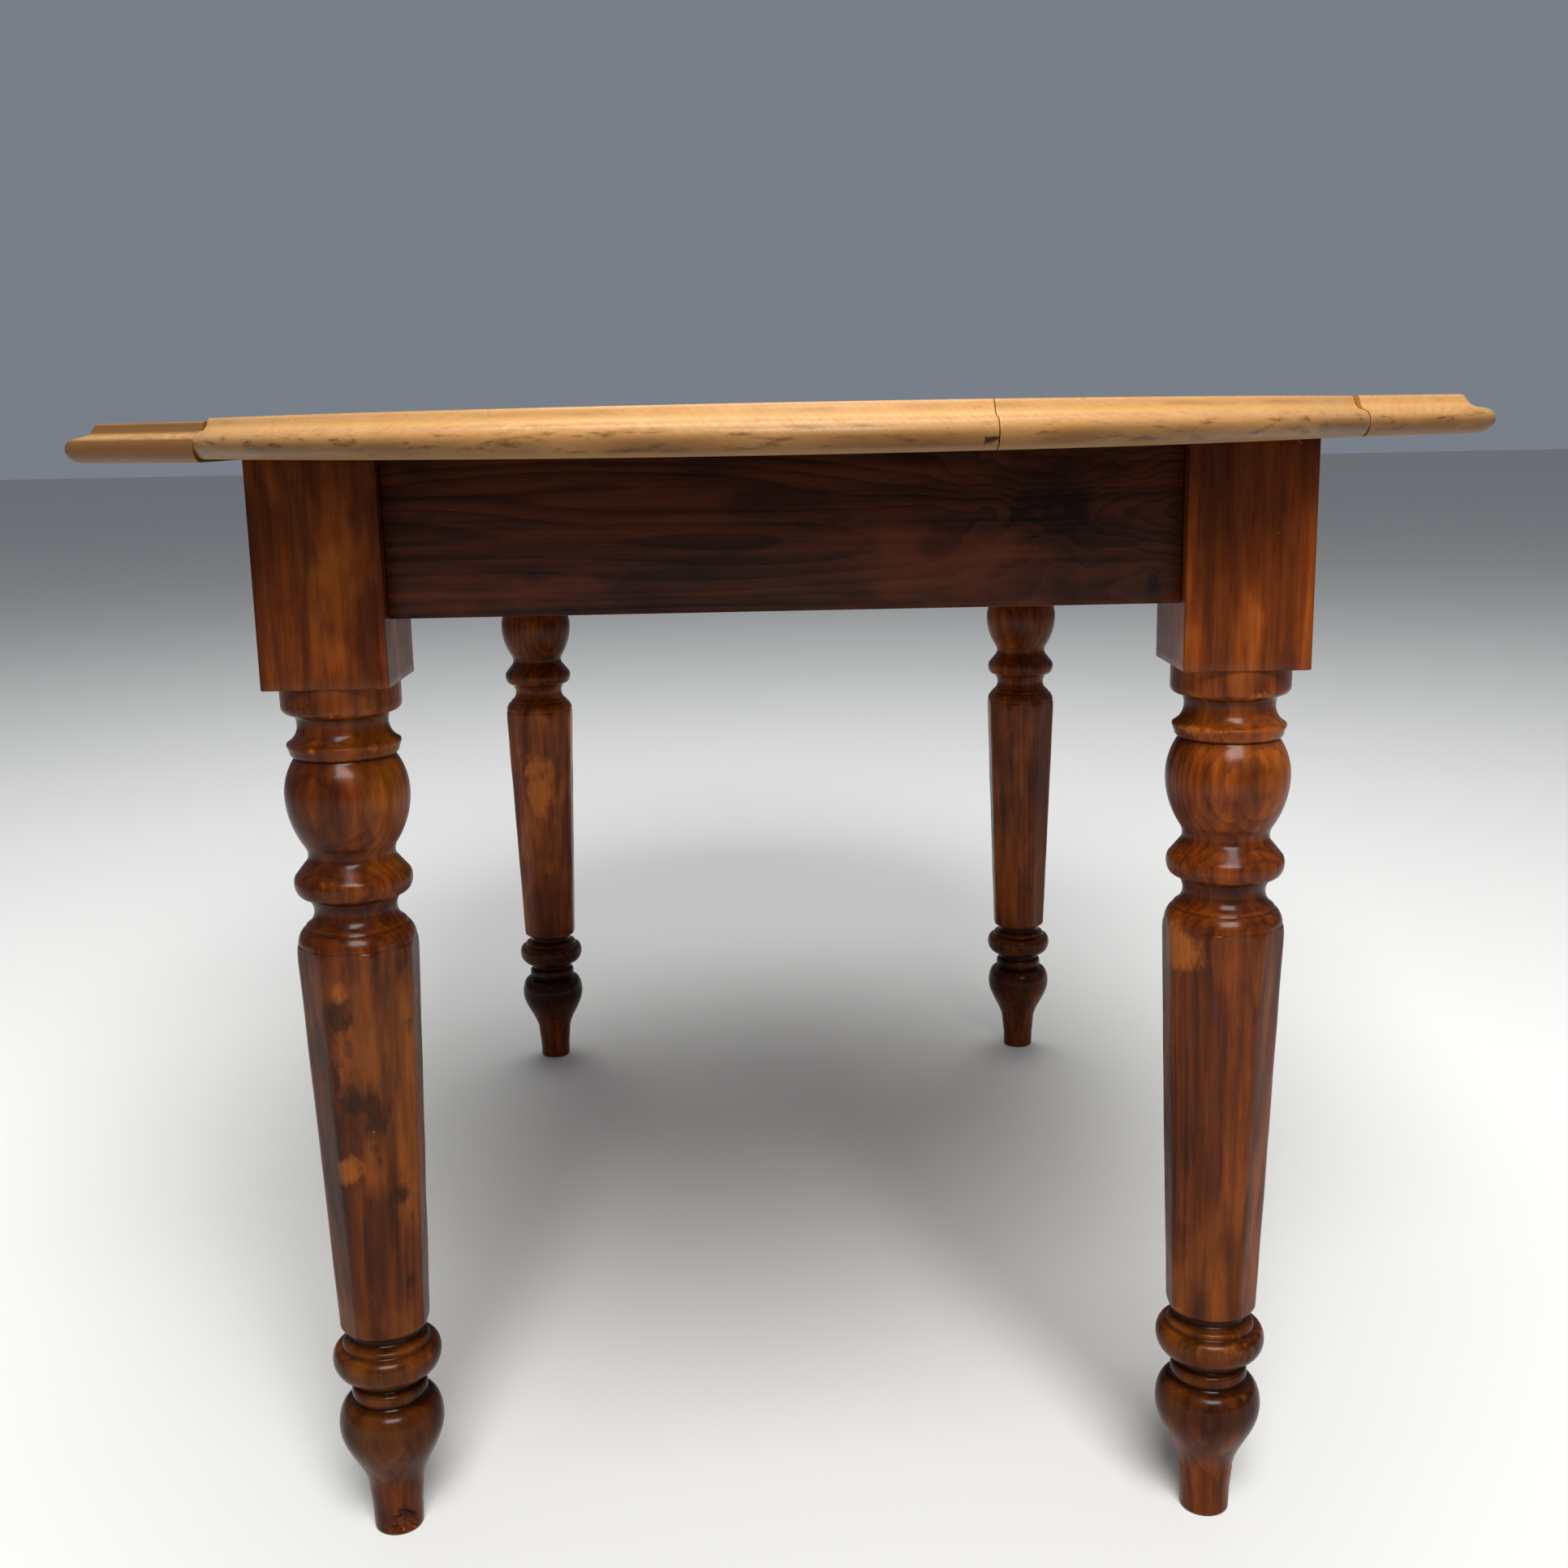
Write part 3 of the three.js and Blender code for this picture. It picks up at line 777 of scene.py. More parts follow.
        # The tone that changes with height, with painted shade darkening the block's top under the top's
        # overhang, then small knocks.
        overall = 1 - 0.3 * blotches
        tones = [*self.foot_tones, *((at, self.shaft_tone) for at in self.shaft), *self.neck_tones]
        tone = sheet.ramp(height, [(at, (overall * value,) * 3) for at, value in tones])
        colour = sheet.blend(1.0, colour, tone, "MULTIPLY")
        speck = sheet.span(sheet.noise(place, 260.0, 2.0), 0.78, 0.81)
        colour = sheet.blend(sheet.product(speck, 0.5), colour, self.speck)
        rough = sheet.span(sheet.noise(place, 60.0, 4.0, 0.6), 0.3, 0.7, 0.22, 0.38)
        rough = sheet.total(rough, sheet.product(worn, 0.15))
        ripple = sheet.bump(sheet.mottle(place, (1, 1, 0.5), 48.0, 3.0), 0.0006, 0.3)
        fine = sheet.bump(sheet.total(fibre, ring), 0.0001, 0.45, ripple)
        sheet.surface(colour, rough, fine, self.shine)
        return sheet.material


@dataclass(frozen=True)
class RailStain:
    """Near-black brown stain over strongly figured wood, satin, redder low down."""

    figure: WoodFigure = WoodFigure(early=(0.058, 0.0155, 0.006), late=(0.028, 0.0075, 0.0035),
                                    deep=(0.008, 0.003, 0.0018), ring=0.0034,
                                    ring_share=0.5, streak_share=0.62, wander=0.017, sweep=10.0)
    flare: Point = (0.17, 0.036, 0.011)
    soot: Point = (0.008, 0.0034, 0.0026)
    low: float = 0.6233
    high: float = 0.72
    shine: Polish = Polish(specular=0.08)

    def dress(self, name: str, timber: Timber) -> bpy.types.Material:
        """Makes one rail's material.

        Args:
            name: The material's name.
            timber: How the rail was cut.

        Returns:
            The material.
        """
        sheet = Sheet(name)
        colour, ring, fibre, _ = self.figure.layers(sheet, timber)
        place = sheet.place(shift=timber.shift)
        cloud = sheet.mottle(place, (0.6, 0.6, 1.4), 11.0, 4.0, 0.6)
        bottom = sheet.span(sheet.height(), self.low, self.high, 0.02, -0.1)
        warm = sheet.span(sheet.total(cloud, bottom), 0.5, 0.76, 0.0, 0.6)
        colour = sheet.blend(warm, colour, self.flare)
        smoke = sheet.mottle(place, (0.8, 0.8, 2.0), 19.0, 4.0, 0.6)
        colour = sheet.blend(sheet.span(smoke, 0.5, 0.7, 0.0, 0.75), colour, self.soot)
        rough = sheet.span(sheet.noise(place, 40.0, 4.0), 0.3, 0.7, 0.3, 0.46)
        fine = sheet.bump(sheet.total(fibre, ring), 0.00015, 0.6)
        sheet.surface(colour, rough, fine, self.shine)
        return sheet.material


@dataclass(frozen=True)
class WaxedTop:
    """Honey-coloured waxed boards: bright on the edge moulding, dirty and painted with shade low down, dull
    below.

    Attributes:
        figure: The grain under it.
        grime: Colour of thick dirt.
        smoked: Colour of the thin dirt along the lower edge, which is also painted shade on the
            downward-facing lower roundover.
        amber: Colour of the line that hands have rubbed.
        plain: Colour of the edge moulding.
        dulling: How much the edge is darkened, from 0 up.
        bare: Colour of the underside.
        underside: Its height, in metres.
        face: The upper face's height.
        grimy: Where the lower edge's dirt and painted shade start and stop fading, above the underside.
        rubbed: The rubbed line: its depth below the face, its reach and its strength.
        quirk: The dirty line in the moulding's step, likewise.
        shine: The steady values.
    """

    figure: WoodFigure = WoodFigure(early=(0.46, 0.255, 0.095), late=(0.36, 0.17, 0.05),
                                    deep=(0.11, 0.048, 0.013), ring=0.0036, ring_share=0.34,
                                    streak_share=0.42, wander=0.011, sweep=4.0)
    grime: Point = (0.06, 0.024, 0.006)
    smoked: Point = (0.105, 0.043, 0.0080)
    amber: Point = (0.52, 0.26, 0.06)
    plain: Point = (0.42, 0.22, 0.078)
    dulling: float = 0.0
    bare: Point = (0.21, 0.115, 0.05)
    underside: float = 0.720
    face: float = 0.743
    grimy: tuple[float, float] = (0.006, 0.0150)
    rubbed: tuple[float, float, float] = (0.0062, 0.0026, 0.4)
    quirk: tuple[float, float, float] = (0.0030, 0.0018, 0.7)
    shine: Polish = Polish(specular=0.12, coat=0.10, coat_roughness=0.3)

    def dress(self, name: str, timber: Timber) -> bpy.types.Material:
        """Makes one board's material.

        Args:
            name: The material's name.
            timber: How the board was cut.

        Returns:
            The material.
        """
        sheet = Sheet(name)
        colour, ring, fibre, pore = self.figure.layers(sheet, timber)
        place = sheet.place(shift=timber.shift)
        height = sheet.height()
        normal = sheet.parts(sheet.add("ShaderNodeTexCoord", {}).outputs["Normal"])["Z"]
        side, below = sheet.span(normal, 0.97, 0.75, 0.0, 0.62), sheet.span(normal, -0.75, -0.9)
        colour = sheet.blend(side, colour, self.plain)
        cloud = sheet.mottle(place, (1, 0.35, 1), 5.0, 4.0, 0.6)
        colour = sheet.blend(sheet.span(cloud, 0.45, 0.75, 0.0, 0.4), colour, self.figure.late)
        # Dirt along the lower edge, thin and then thick; the thin layer is also painted shade on the
        # downward-facing lower roundover.
        fade, clean = (self.underside + rise for rise in self.grimy)
        low = sheet.span(height, fade, clean, 1.0, 0.0, smooth=True)
        dash = sheet.mottle(place, (1, 1, 5.5), 46.0, 4.0, 0.65)
        smear = sheet.mottle(place, (1, 1, 3.0), 16.0, 3.0)
        tan = sheet.product(sheet.span(smear, 0.3, 0.62, 0.68, 0.95), low)
        colour = sheet.blend(tan, colour, self.smoked)
        dirt = sheet.product(sheet.span(dash, 0.53, 0.66), sheet.span(low, 0.0, 0.5, 0.05, 0.85))
        colour = sheet.blend(dirt, colour, self.grime)
        # The rubbed line and the dirty step of the moulding.
        depth, reach, most = self.rubbed
        colour = sheet.blend(sheet.near(height, self.face - depth, reach, most), colour, self.amber)
        depth, reach, most = self.quirk
        quirk = sheet.product(sheet.near(height, self.face - depth, reach, most),
                              sheet.span(smear, 0.46, 0.66, 0.0, 0.5))
        colour = sheet.blend(quirk, colour, self.grime)
        colour = sheet.blend(sheet.product(side, self.dulling), colour, self.figure.deep)
        colour = sheet.blend(sheet.product(below, 0.8), colour, self.bare)
        gloss = sheet.span(sheet.noise(place, 30.0, 4.0, 0.6), 0.3, 0.7, 0.30, 0.46)
        gloss = sheet.total(gloss, sheet.product(below, 0.35))
        dents = sheet.span(sheet.mottle(place, (1, 0.6, 1), 90.0, 2.0), 0.62, 0.75)
        grainy = sheet.bump(sheet.total(fibre, sheet.sum("SUBTRACT", ring, pore)), 0.0001, 0.6)
        sheet.surface(colour, gloss, sheet.bump(dents, -0.0004, 0.6, grainy), self.shine)
        return sheet.material


@dataclass(frozen=True)
class BareWood:
    """Sawn secondary wood that never had a finish: dusty, matt, with saw ripple."""

    figure: WoodFigure = WoodFigure(early=(0.30, 0.17, 0.08), late=(0.20, 0.10, 0.042),
                                    deep=(0.07, 0.035, 0.016), ring=0.003, ring_share=0.6)
    dust: Point = (0.30, 0.24, 0.17)

    def dress(self, name: str, timber: Timber) -> bpy.types.Material:
        """Makes one bare piece's material.

        Args:
            name: The material's name.
            timber: How the piece was cut.

        Returns:
            The material.
        """
        sheet = Sheet(name)
        colour, ring, fibre, _ = self.figure.layers(sheet, timber)
        place = sheet.place(shift=timber.shift)
        cloud = sheet.noise(place, 30.0, 4.0, 0.65)
        colour = sheet.blend(sheet.span(cloud, 0.45, 0.75, 0.0, 0.35), colour, self.dust)
        saw = sheet.mottle(place, (1, 1, 0.25), 420.0, 2.0)
        sawn = sheet.bump(sheet.total(fibre, ring, saw), 0.0002, 0.7)
        sheet.surface(colour, sheet.span(cloud, 0.3, 0.7, 0.7, 0.88), sawn)
        return sheet.material


@dataclass(frozen=True)
class OldMetal:
    """Dull iron or steel: worn bright on the flats, with brown rust in patches."""

    clean: Point = (0.075, 0.07, 0.066)
    rust: Point = (0.10, 0.038, 0.014)
    rust_share: float = 0.6
    bright: float = 0.32

    def dress(self, name: str) -> bpy.types.Material:
        """Makes the metal's material.

        Args:
            name: The material's name.

        Returns:
            The material.
        """
        sheet = Sheet(name)
        place = sheet.place()
        patch = sheet.noise(place, 120.0, 5.0, 0.65)
        grit = sheet.noise(place, 900.0, 3.0)
        rusty = sheet.product(sheet.span(patch, 0.46, 0.62), self.rust_share)
        shiny = tuple(2 * value for value in self.clean)
        tint = sheet.blend(sheet.span(grit, 0.3, 0.7, 0.0, 0.4), self.clean, shiny)
        pitted = sheet.bump(sheet.total(sheet.product(patch, 0.7), sheet.product(grit, 0.3)), 0.0003, 0.6)
        sheet.surface(sheet.blend(rusty, tint, self.rust),
                      sheet.span(rusty, 0.0, 0.6, self.bright, 0.85), pitted)
        sheet.put(sheet.shader.inputs["Metallic"], sheet.span(rusty, 0.0, 0.5, 0.9, 0.1))
        return sheet.material


# ------------------------------------------------------------------------------ legs


@dataclass(frozen=True)
class Station:
    """One point of a turning: its height and diameter, and the run that reaches it."""

    z: float
    diameter: float
    run: Run = Run.LINE


# Heights and diameters in millimetres, from the foot up.
FOOT_TO_SHAFT = [
    Station(0, 29), Station(1.4, 32.4, Run.ROUND), Station(17, 33.6), Station(31, 36.4),
    Station(79.5, 69.4, Run.OGEE), Station(96.5, 54, Run.ROUND), Station(98.5, 47, Run.COVE),
    Station(103.5, 50.5, Run.ROUND), Station(108.3, 46, Run.ROUND), Station(112, 42, Run.COVE),
    Station(115, 50, Run.COVE), Station(128.4, 71.4, Run.ROUND), Station(136.5, 62, Run.ROUND),
    Station(137.6, 57, Run.COVE), Station(141, 54.5, Run.ROUND), Station(142.3, 47, Run.COVE),
    Station(146.5, 43, Run.COVE), Station(149.5, 50), Station(154, 59.5, Run.ROUND),
]
SHAFT_TO_BLOCK = [
    Station(407, 76.9), Station(416.5, 74.2, Run.ROUND), Station(425.8, 67, Run.SWELL),
    Station(427, 63.5), Station(428.6, 62.5, Run.ROUND), Station(438, 51.6, Run.FLARE),
    Station(444, 55, Run.FLARE), Station(447.5, 62.5, Run.COVE), Station(456.5, 73.5, Run.ROUND),
    Station(461, 71.2, Run.SWELL), Station(469.5, 57.5), Station(474, 54, Run.FLARE),
    Station(479.8, 57.4, Run.FLARE), Station(512.5, 77, Run.SWELL), Station(535.8, 63, Run.SWELL),
    Station(537, 62.2), Station(540.5, 67.6, Run.ROUND), Station(544.2, 70.4),
    Station(545.6, 69.8, Run.ROUND), Station(557, 56, Run.FLARE), Station(562.3, 57.6, Run.FLARE),
    Station(564, 63), Station(568.6, 73.6, Run.ROUND), Station(582.4, 73.8),
]


def turn_profile(stations: Sequence[Station], step: float) -> np.ndarray:
    """Heights and radii along a turning.

    Args:
        stations: The turning's points, from the lowest up.
        step: The distance between rows, about.

    Returns:
        Rows of (height, radius), in millimetres.
    """
    rows = [np.array([[stations[0].z, stations[0].diameter / 2]])]
    for first, last in zip(stations, stations[1:]):
        rise, change = last.z - first.z, (last.diameter - first.diameter) / 2
        count = max(2, round(math.hypot(rise, change) / step))
        even = np.arange(1, count + 1) / count
        thick_last = change > 0
        upright_last = thick_last == (last.run in (Run.ROUND, Run.SWELL))
        if last.run in (Run.ROUND, Run.COVE):
            quarter = even * math.pi / 2
            quick, slow = np.sin(quarter), 1 - np.cos(quarter)
            t, share = (slow, quick) if upright_last else (quick, slow)
        elif last.run in (Run.SWELL, Run.FLARE):
            t, share = even, arc_share(even, rise, abs(change), upright_last)
        elif last.run is Run.OGEE:
            t, share = even, 0.5 - 0.5 * np.cos(math.pi * even)
        else:
            t, share = even, even
        rows.append(np.stack([first.z + rise * t, first.diameter / 2 + change * share], axis=1))
    return np.vstack(rows)


def arc_share(t: np.ndarray, rise: float, change: float, upright_last: bool) -> np.ndarray:
    """How far the radius has changed along a circle's arc that is upright at one end.

    Args:
        t: Shares of the arc's height.
        rise: The arc's height.
        change: How much the radius changes over it.
        upright_last: Whether the arc is upright at its last end.

    Returns:
        The share of the change at each t.
    """
    circle = (change**2 + rise**2) / (2 * change)
    away = (1 - t if upright_last else t) * rise
    off = (circle - np.sqrt(circle**2 - away**2)) / change
    return 1 - off if upright_last else off


@dataclass(frozen=True)
class Patch:
    """A worn or stained place on a leg: degrees round from +X, millimetres up, and its half sizes."""

    angle: float
    z: float
    half_angle: float
    half_height: float

    def cover(self, z: np.ndarray, angle: np.ndarray) -> np.ndarray:
        """How far each point lies inside the patch.

        Args:
            z: Heights, in millimetres.
            angle: Angles round from +X, in radians.

        Returns:
            Values from 0 at its edge to 1 at its middle.
        """
        turn = (np.degrees(angle) - self.angle + 180) % 360 - 180
        return np.clip(1 - (turn / self.half_angle) ** 2 - ((z - self.z) / self.half_height) ** 2, 0, 1)


@dataclass(frozen=True)
class Chip:
    """A splintered bite out of a foot.

    Attributes:
        angle: Degrees round from +X.
        z: Its middle's height, in millimetres.
        reach: How far it spreads from there.
        depth: How deep it goes.
        radius: The foot's radius there, which turns an angle into a distance.
        squash: How a distance up the foot counts against one round it.
        lowest: The height where it stops.
    """

    angle: float = 296.0
    z: float = 9.0
    reach: float = 9.5
    depth: float = 4.6
    radius: float = 17.0
    squash: float = 0.95
    lowest: float = 2.0

    def bite(self, z: np.ndarray, angle: np.ndarray) -> np.ndarray:
        """How much wood is lost.

        Args:
            z: Heights, in millimetres.
            angle: Angles round from +X, in radians.

        Returns:
            The loss at each point, in millimetres.
        """
        away = np.hypot((angle - math.radians(self.angle)) * self.radius, (z - self.z) * self.squash)
        ragged = 1 + 0.25 * np.sin(9 * angle + 0.7 * z)
        return self.depth * np.clip(1 - (away / (self.reach * ragged)) ** 2, 0, 1) ** 0.6 * (z > self.lowest)


@dataclass
class Leg:
    """One turned leg, from its foot to the square block that takes the rails, in millimetres.

    Attributes:
        node: Its CAD node.
        shift: Its place in the noise.
        blotches: How much dark mottling it has, from 0 to 1.
        rubbing: How much of its stain is worn through, from 0 to 1.
        worn: Its worn patches.
        stained: Its dark patches.
        knots: The knots near its faces.
        heart: The tree's heart line, from the leg's axis, in metres.
        chip: The bite out of its foot, if there is one.
        varnish: Its finish.
        columns: Points round it.
        step: The distance between rings, about.
        shaft_rows: Rings along the shaft, its ends included.
        flats: Sides of the shaft.
        flat_top: The shaft's width across flats at its top.
        flat_foot: The same at its foot.
        shaft_low: Where the flats start.
        shaft_high: Where they end.
        corner_ease: The shaft's greatest radius, as a share of its flats'.
        softness: How softly the turning runs into the flats.
        waves: Waves in the hand wobble.
        full_hollow: How far below its surroundings a ring is when stain pools fully.
        full_proud: How far above them it is when it wears fully.
        full_crease: How many degrees a hollow line turns when stain pools fully.
        full_arris: How many an arris turns when it wears fully.
        block_half: Half the block's width.
        block_low: The block's lower end.
        block_high: Its upper end.
        block_ease: How far its edges are rounded, in metres.
        tenon: A rail tenon's length, half width, bottom and top.
        rail_offset: How far the rails' middles are from the leg's axis, outwards.
    """

    node: str
    shift: Point
    blotches: float
    rubbing: float
    worn: tuple[Patch, ...] = ()
    stained: tuple[Patch, ...] = ()
    knots: tuple[Knot, ...] = ()
    heart: tuple[float, float] = (0.02, 0.11)
    chip: Optional[Chip] = None
    varnish: LegVarnish = LegVarnish()
    columns: int = 128
    step: float = 1.3
    shaft_rows: int = 112
    flats: int = 8
    flat_top: float = 72.5
    flat_foot: float = 55.8
    shaft_low: float = 151.7
    shaft_high: float = 412.0
    corner_ease: float = 1.062
    softness: float = 0.35
    waves: int = 14
    full_hollow: float = 3.2
    full_proud: float = 4.0
    full_crease: float = 70.0
    full_arris: float = 75.0
    block_half: float = 38.5
    block_low: float = 582.4
    block_high: float = 719.7
    block_ease: float = 0.0011
    tenon: tuple[float, float, float, float] = (40.3, 4.8, 634.7, 705.3)
    rail_offset: float = 17.5

    def axis(self) -> Vector:
        """Where the leg stands."""
        low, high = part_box(self.node)
        return Vector(((low.x + high.x) / 2, (low.y + high.y) / 2, 0.0))

    def shaft_radius(self, z: np.ndarray, angle: np.ndarray) -> np.ndarray:
        """The octagon's distance from the axis, with its corners just eased.

        Args:
            z: Heights, in millimetres.
            angle: Angles round from +X, in radians.

        Returns:
            The distance at each point.
        """
        share = (z - self.shaft_low) / (self.shaft_high - self.shaft_low)
        apothem = (self.flat_foot + (self.flat_top - self.flat_foot) * share) / 2
        sector = 2 * math.pi / self.flats
        off = (angle + sector / 2) % sector - sector / 2
        return np.minimum(apothem / np.cos(off), apothem * self.corner_ease)

    def rings(self) -> tuple[np.ndarray, np.ndarray]:
        """The turned length.

        Returns:
            Its points, as rings by columns by xyz, and its profile as rows of (height, radius).
        """
        foot = turn_profile(FOOT_TO_SHAFT, self.step)
        neck = turn_profile(SHAFT_TO_BLOCK, self.step)
        middle = np.linspace(foot[-1, 0], neck[0, 0], self.shaft_rows)[1:-1]
        cone = np.interp(middle, [foot[-1, 0], neck[0, 0]], [foot[-1, 1], neck[0, 1]])
        profile = np.vstack([foot, np.stack([middle, cone], axis=1), neck])
        z, radius = profile[:, :1], profile[:, 1:]
        angle = np.arange(self.columns)[None, :] * 2 * math.pi / self.columns
        octagon = self.shaft_radius(z, angle)
        inside = (z > self.shaft_low - 3) & (z < self.shaft_high + 6)
        both = np.exp(-radius / self.softness) + np.exp(-octagon / self.softness)
        soft = -self.softness * np.log(both)
        turned = np.where(inside, soft, radius)
        turned = turned + self.hand_wobble(z, angle)
        if self.chip is not None:
            turned = turned - self.chip.bite(z, angle)
        points = np.stack([turned * np.cos(angle), turned * np.sin(angle), z + 0 * angle], axis=2)
        return points, profile

    def hand_wobble(self, z: np.ndarray, angle: np.ndarray) -> np.ndarray:
        """The slight unevenness that a hand tool and long use leave, nil at the two ends.

        Args:
            z: Heights, in millimetres.
            angle: Angles round from +X, in radians.

        Returns:
            What it adds to the radius at each point.
        """
        random = np.random.default_rng(abs(hash_word(self.node)))
        wobble = np.zeros(np.broadcast(z, angle).shape)
        for _ in range(self.waves):
            around, along = random.integers(1, 7), random.uniform(0.01, 0.12)
            phase, size = random.uniform(0, 2 * math.pi, 2), random.uniform(0.02, 0.07)
            wobble += size * np.sin(around * angle + phase[0]) * np.sin(along * z + phase[1])
        fade = np.clip(z / 4, 0, 1) * np.clip((self.block_low - z) / 4, 0, 1)
        return wobble * fade

    @staticmethod
    def proudness(profile: np.ndarray) -> np.ndarray:
        """How far each ring stands proud of the average radius near it.

        Args:
            profile: Rows of (height, radius).

        Returns:
            A value for each row, in millimetres.
        """
        step, reach, spread = 0.5, 24, 12.0
        even = np.arange(profile[0, 0], profile[-1, 0], step)
        radius = np.interp(even, profile[:, 0], profile[:, 1])
        weight = np.exp(-(np.arange(-reach, reach + 1) / spread) ** 2)
        padded = np.pad(radius, reach, mode="edge")
        average = np.convolve(padded, weight / weight.sum(), mode="valid")
        return np.interp(profile[:, 0], even, radius - average)

    @staticmethod
    def sharpness(profile: np.ndarray) -> np.ndarray:
        """How sharply the profile turns at each ring.

        Args:
            profile: Rows of (height, radius).

        Returns:
            Degrees for each row, over 3 mm of profile; positive on arrises.
        """
        reach = 1.5
        step = np.diff(profile, axis=0)
        length = np.concatenate([[0], np.cumsum(np.hypot(step[:, 0], step[:, 1]))])
        behind, ahead = (np.stack([np.interp(length + way, length, profile[:, i]) for i in (0, 1)], axis=1)
                         for way in (-reach, reach))
        before, after = profile - behind, ahead - profile
        turn = np.arctan2(before[:, 1], before[:, 0]) - np.arctan2(after[:, 1], after[:, 0])
        return np.degrees(turn)

    def build(self) -> None:
        """Makes the leg, with its point values for pooled stain and wear."""
        turned, profile = self.rings()
        half = self.block_half
        angle = np.arange(self.columns) * 2 * math.pi / self.columns
        square = half / np.maximum(np.abs(np.cos(angle)), np.abs(np.sin(angle)))
        levels = [self.block_low] + list(np.linspace(self.block_low, self.block_high, 24)[1:])
        block = np.stack([np.stack([square * np.cos(angle), square * np.sin(angle),
                                    np.full_like(angle, z)], axis=1) for z in levels])
        rings = np.concatenate([turned, block]) * MM
        bm = ring_solid(rings)
        self.mark(bm, rings / MM, profile, len(levels))
        self.ease_block(bm)
        bm = self.cut_mortises(bm)
        middle = self.axis()
        bmesh.ops.translate(bm, vec=middle, verts=bm.verts)
        heart = (middle.x + self.heart[0], middle.y + self.heart[1], 0.0)
        timber = Timber(Grain.ALONG_Z, heart, self.shift, self.knots)
        varnish = self.varnish.dress(f"{self.node}_varnish", timber, self.blotches, self.rubbing)
        finish_piece(f"{self.node}_turned", bm, varnish, "root", [self.node], crease=50)

    def mark(self, bm: bmesh.types.BMesh, rings: np.ndarray, profile: np.ndarray, in_block: int) -> None:
        """Gives every point its values for pooled stain, wear, arrises, patches and blotches.

        Args:
            bm: The leg, its points still in ring order.
            rings: The same points in millimetres, as rings by columns by xyz.
            profile: Rows of (height, radius) of the turned rings.
            in_block: How many rings belong to the block.
        """
        tone, sharp = self.proudness(profile), self.sharpness(profile)
        hollow = np.maximum(np.clip(-tone / self.full_hollow, 0, 1),
                            np.clip(-sharp / self.full_crease, 0, 0.95))
        rows = {"hollow": hollow, "proud": np.clip(tone / self.full_proud, 0, 1),
                "edge": np.clip(sharp / self.full_arris - 0.3, 0, 1)}
        z, angle = rings[:, :, 2], np.arctan2(rings[:, :, 1], rings[:, :, 0])
        values = {name: np.repeat(np.concatenate([row, np.zeros(in_block)])[:, None], self.columns, axis=1)
                  for name, row in rows.items()}
        for name, patches in (("rub", self.worn), ("blot", self.stained)):
            values[name] = np.max([np.zeros_like(z)] + [patch.cover(z, angle) for patch in patches], axis=0)
        bm.verts.ensure_lookup_table()
        for name, value in values.items():
            layer = bm.verts.layers.float.new(name)
            for vertex, number in zip(bm.verts, value.ravel().tolist()):
                vertex[layer] = number

    def ease_block(self, bm: bmesh.types.BMesh) -> None:
        """Rounds the block's long corners and its two rims.

        Args:
            bm: The leg about its axis.
        """
        low, least = self.block_low * MM - 1e-6, math.radians(50)
        edges = [e for e in bm.edges if len(e.link_faces) == 2 and e.calc_face_angle(0.0) > least
                 and all(v.co.z > low and v.co.xy.length > (self.block_half - 0.2) * MM for v in e.verts)]
        bmesh.ops.bevel(bm, geom=edges, offset=self.block_ease, segments=3, profile=0.5, affect="EDGES",
                        clamp_overlap=True)

    def cut_mortises(self, bm: bmesh.types.BMesh) -> bmesh.types.BMesh:
        """Cuts the two mortises that take the rails' tenons.

        Args:
            bm: The leg about its axis, which is freed.

        Returns:
            The leg with its mortises.
        """
        length, half, low, high = self.tenon
        place = self.axis()
        inward = (-math.copysign(1, place.x), -math.copysign(1, place.y))
        boxes = []
        for along, across in ((0, 1), (1, 0)):
            start, end = [0.0, 0.0, low], [0.0, 0.0, high]
            start[along], end[along] = sorted((inward[along] * (self.block_half + 1),
                                               inward[along] * (self.block_half - length)))
            middle = -inward[across] * self.rail_offset
            start[across], end[across] = middle - half, middle + half
            boxes.append(box_mesh(tuple(value * MM for value in start), tuple(value * MM for value in end)))
        return combine(bm, gather(boxes), "DIFFERENCE")


def hash_word(word: str) -> int:
    """A whole number that is always the same for a word.

    Args:
        word: The word.

    Returns:
        The number.
    """
    value = 7
    for letter in word:
        value = (value * 31 + ord(letter)) % 2_147_483_647
    return value


# ------------------------------------------------------------------------------ rails


@dataclass
class Rail:
    """One stained rail with its tenons."""

    node: str
    timber: Timber
    ease: float = 0.0009

    def build(self) -> None:
        """Makes the rail from its CAD node, with eased edges."""
        stain = RailStain().dress(f"{self.node}_stain", self.timber)
        finish_piece(f"{self.node}_stained", eased_copy(self.node, self.ease), stain, "root",
                     [self.node])


# ------------------------------------------------------------------------------ top and leaves


@dataclass(frozen=True)
class EdgeMoulding:
    """The moulding round the top: a bullnose under a shallow step.

    Attributes:
        stations: (inset from the nose, depth below the face) from the underside up, in millimetres.
        steps: Steps to each stretch of the profile.
    """

    stations: tuple[tuple[float, float], ...] = (
        (9.5, 23), (5.8, 22), (2.6, 20), (0.7, 17.2), (0.3, 14.2), (1.1, 11.5), (3.4, 9.3), (7, 8.05),
        (11.8, 7.2), (15.0, 5.5), (17.2, 2.9), (18.3, 1.2), (19.9, 0),
    )
    steps: int = 4

    def path(self) -> np.ndarray:
        """The whole profile as rows of (inset, depth)."""
        return smooth_path(np.array(self.stations, float), self.steps)


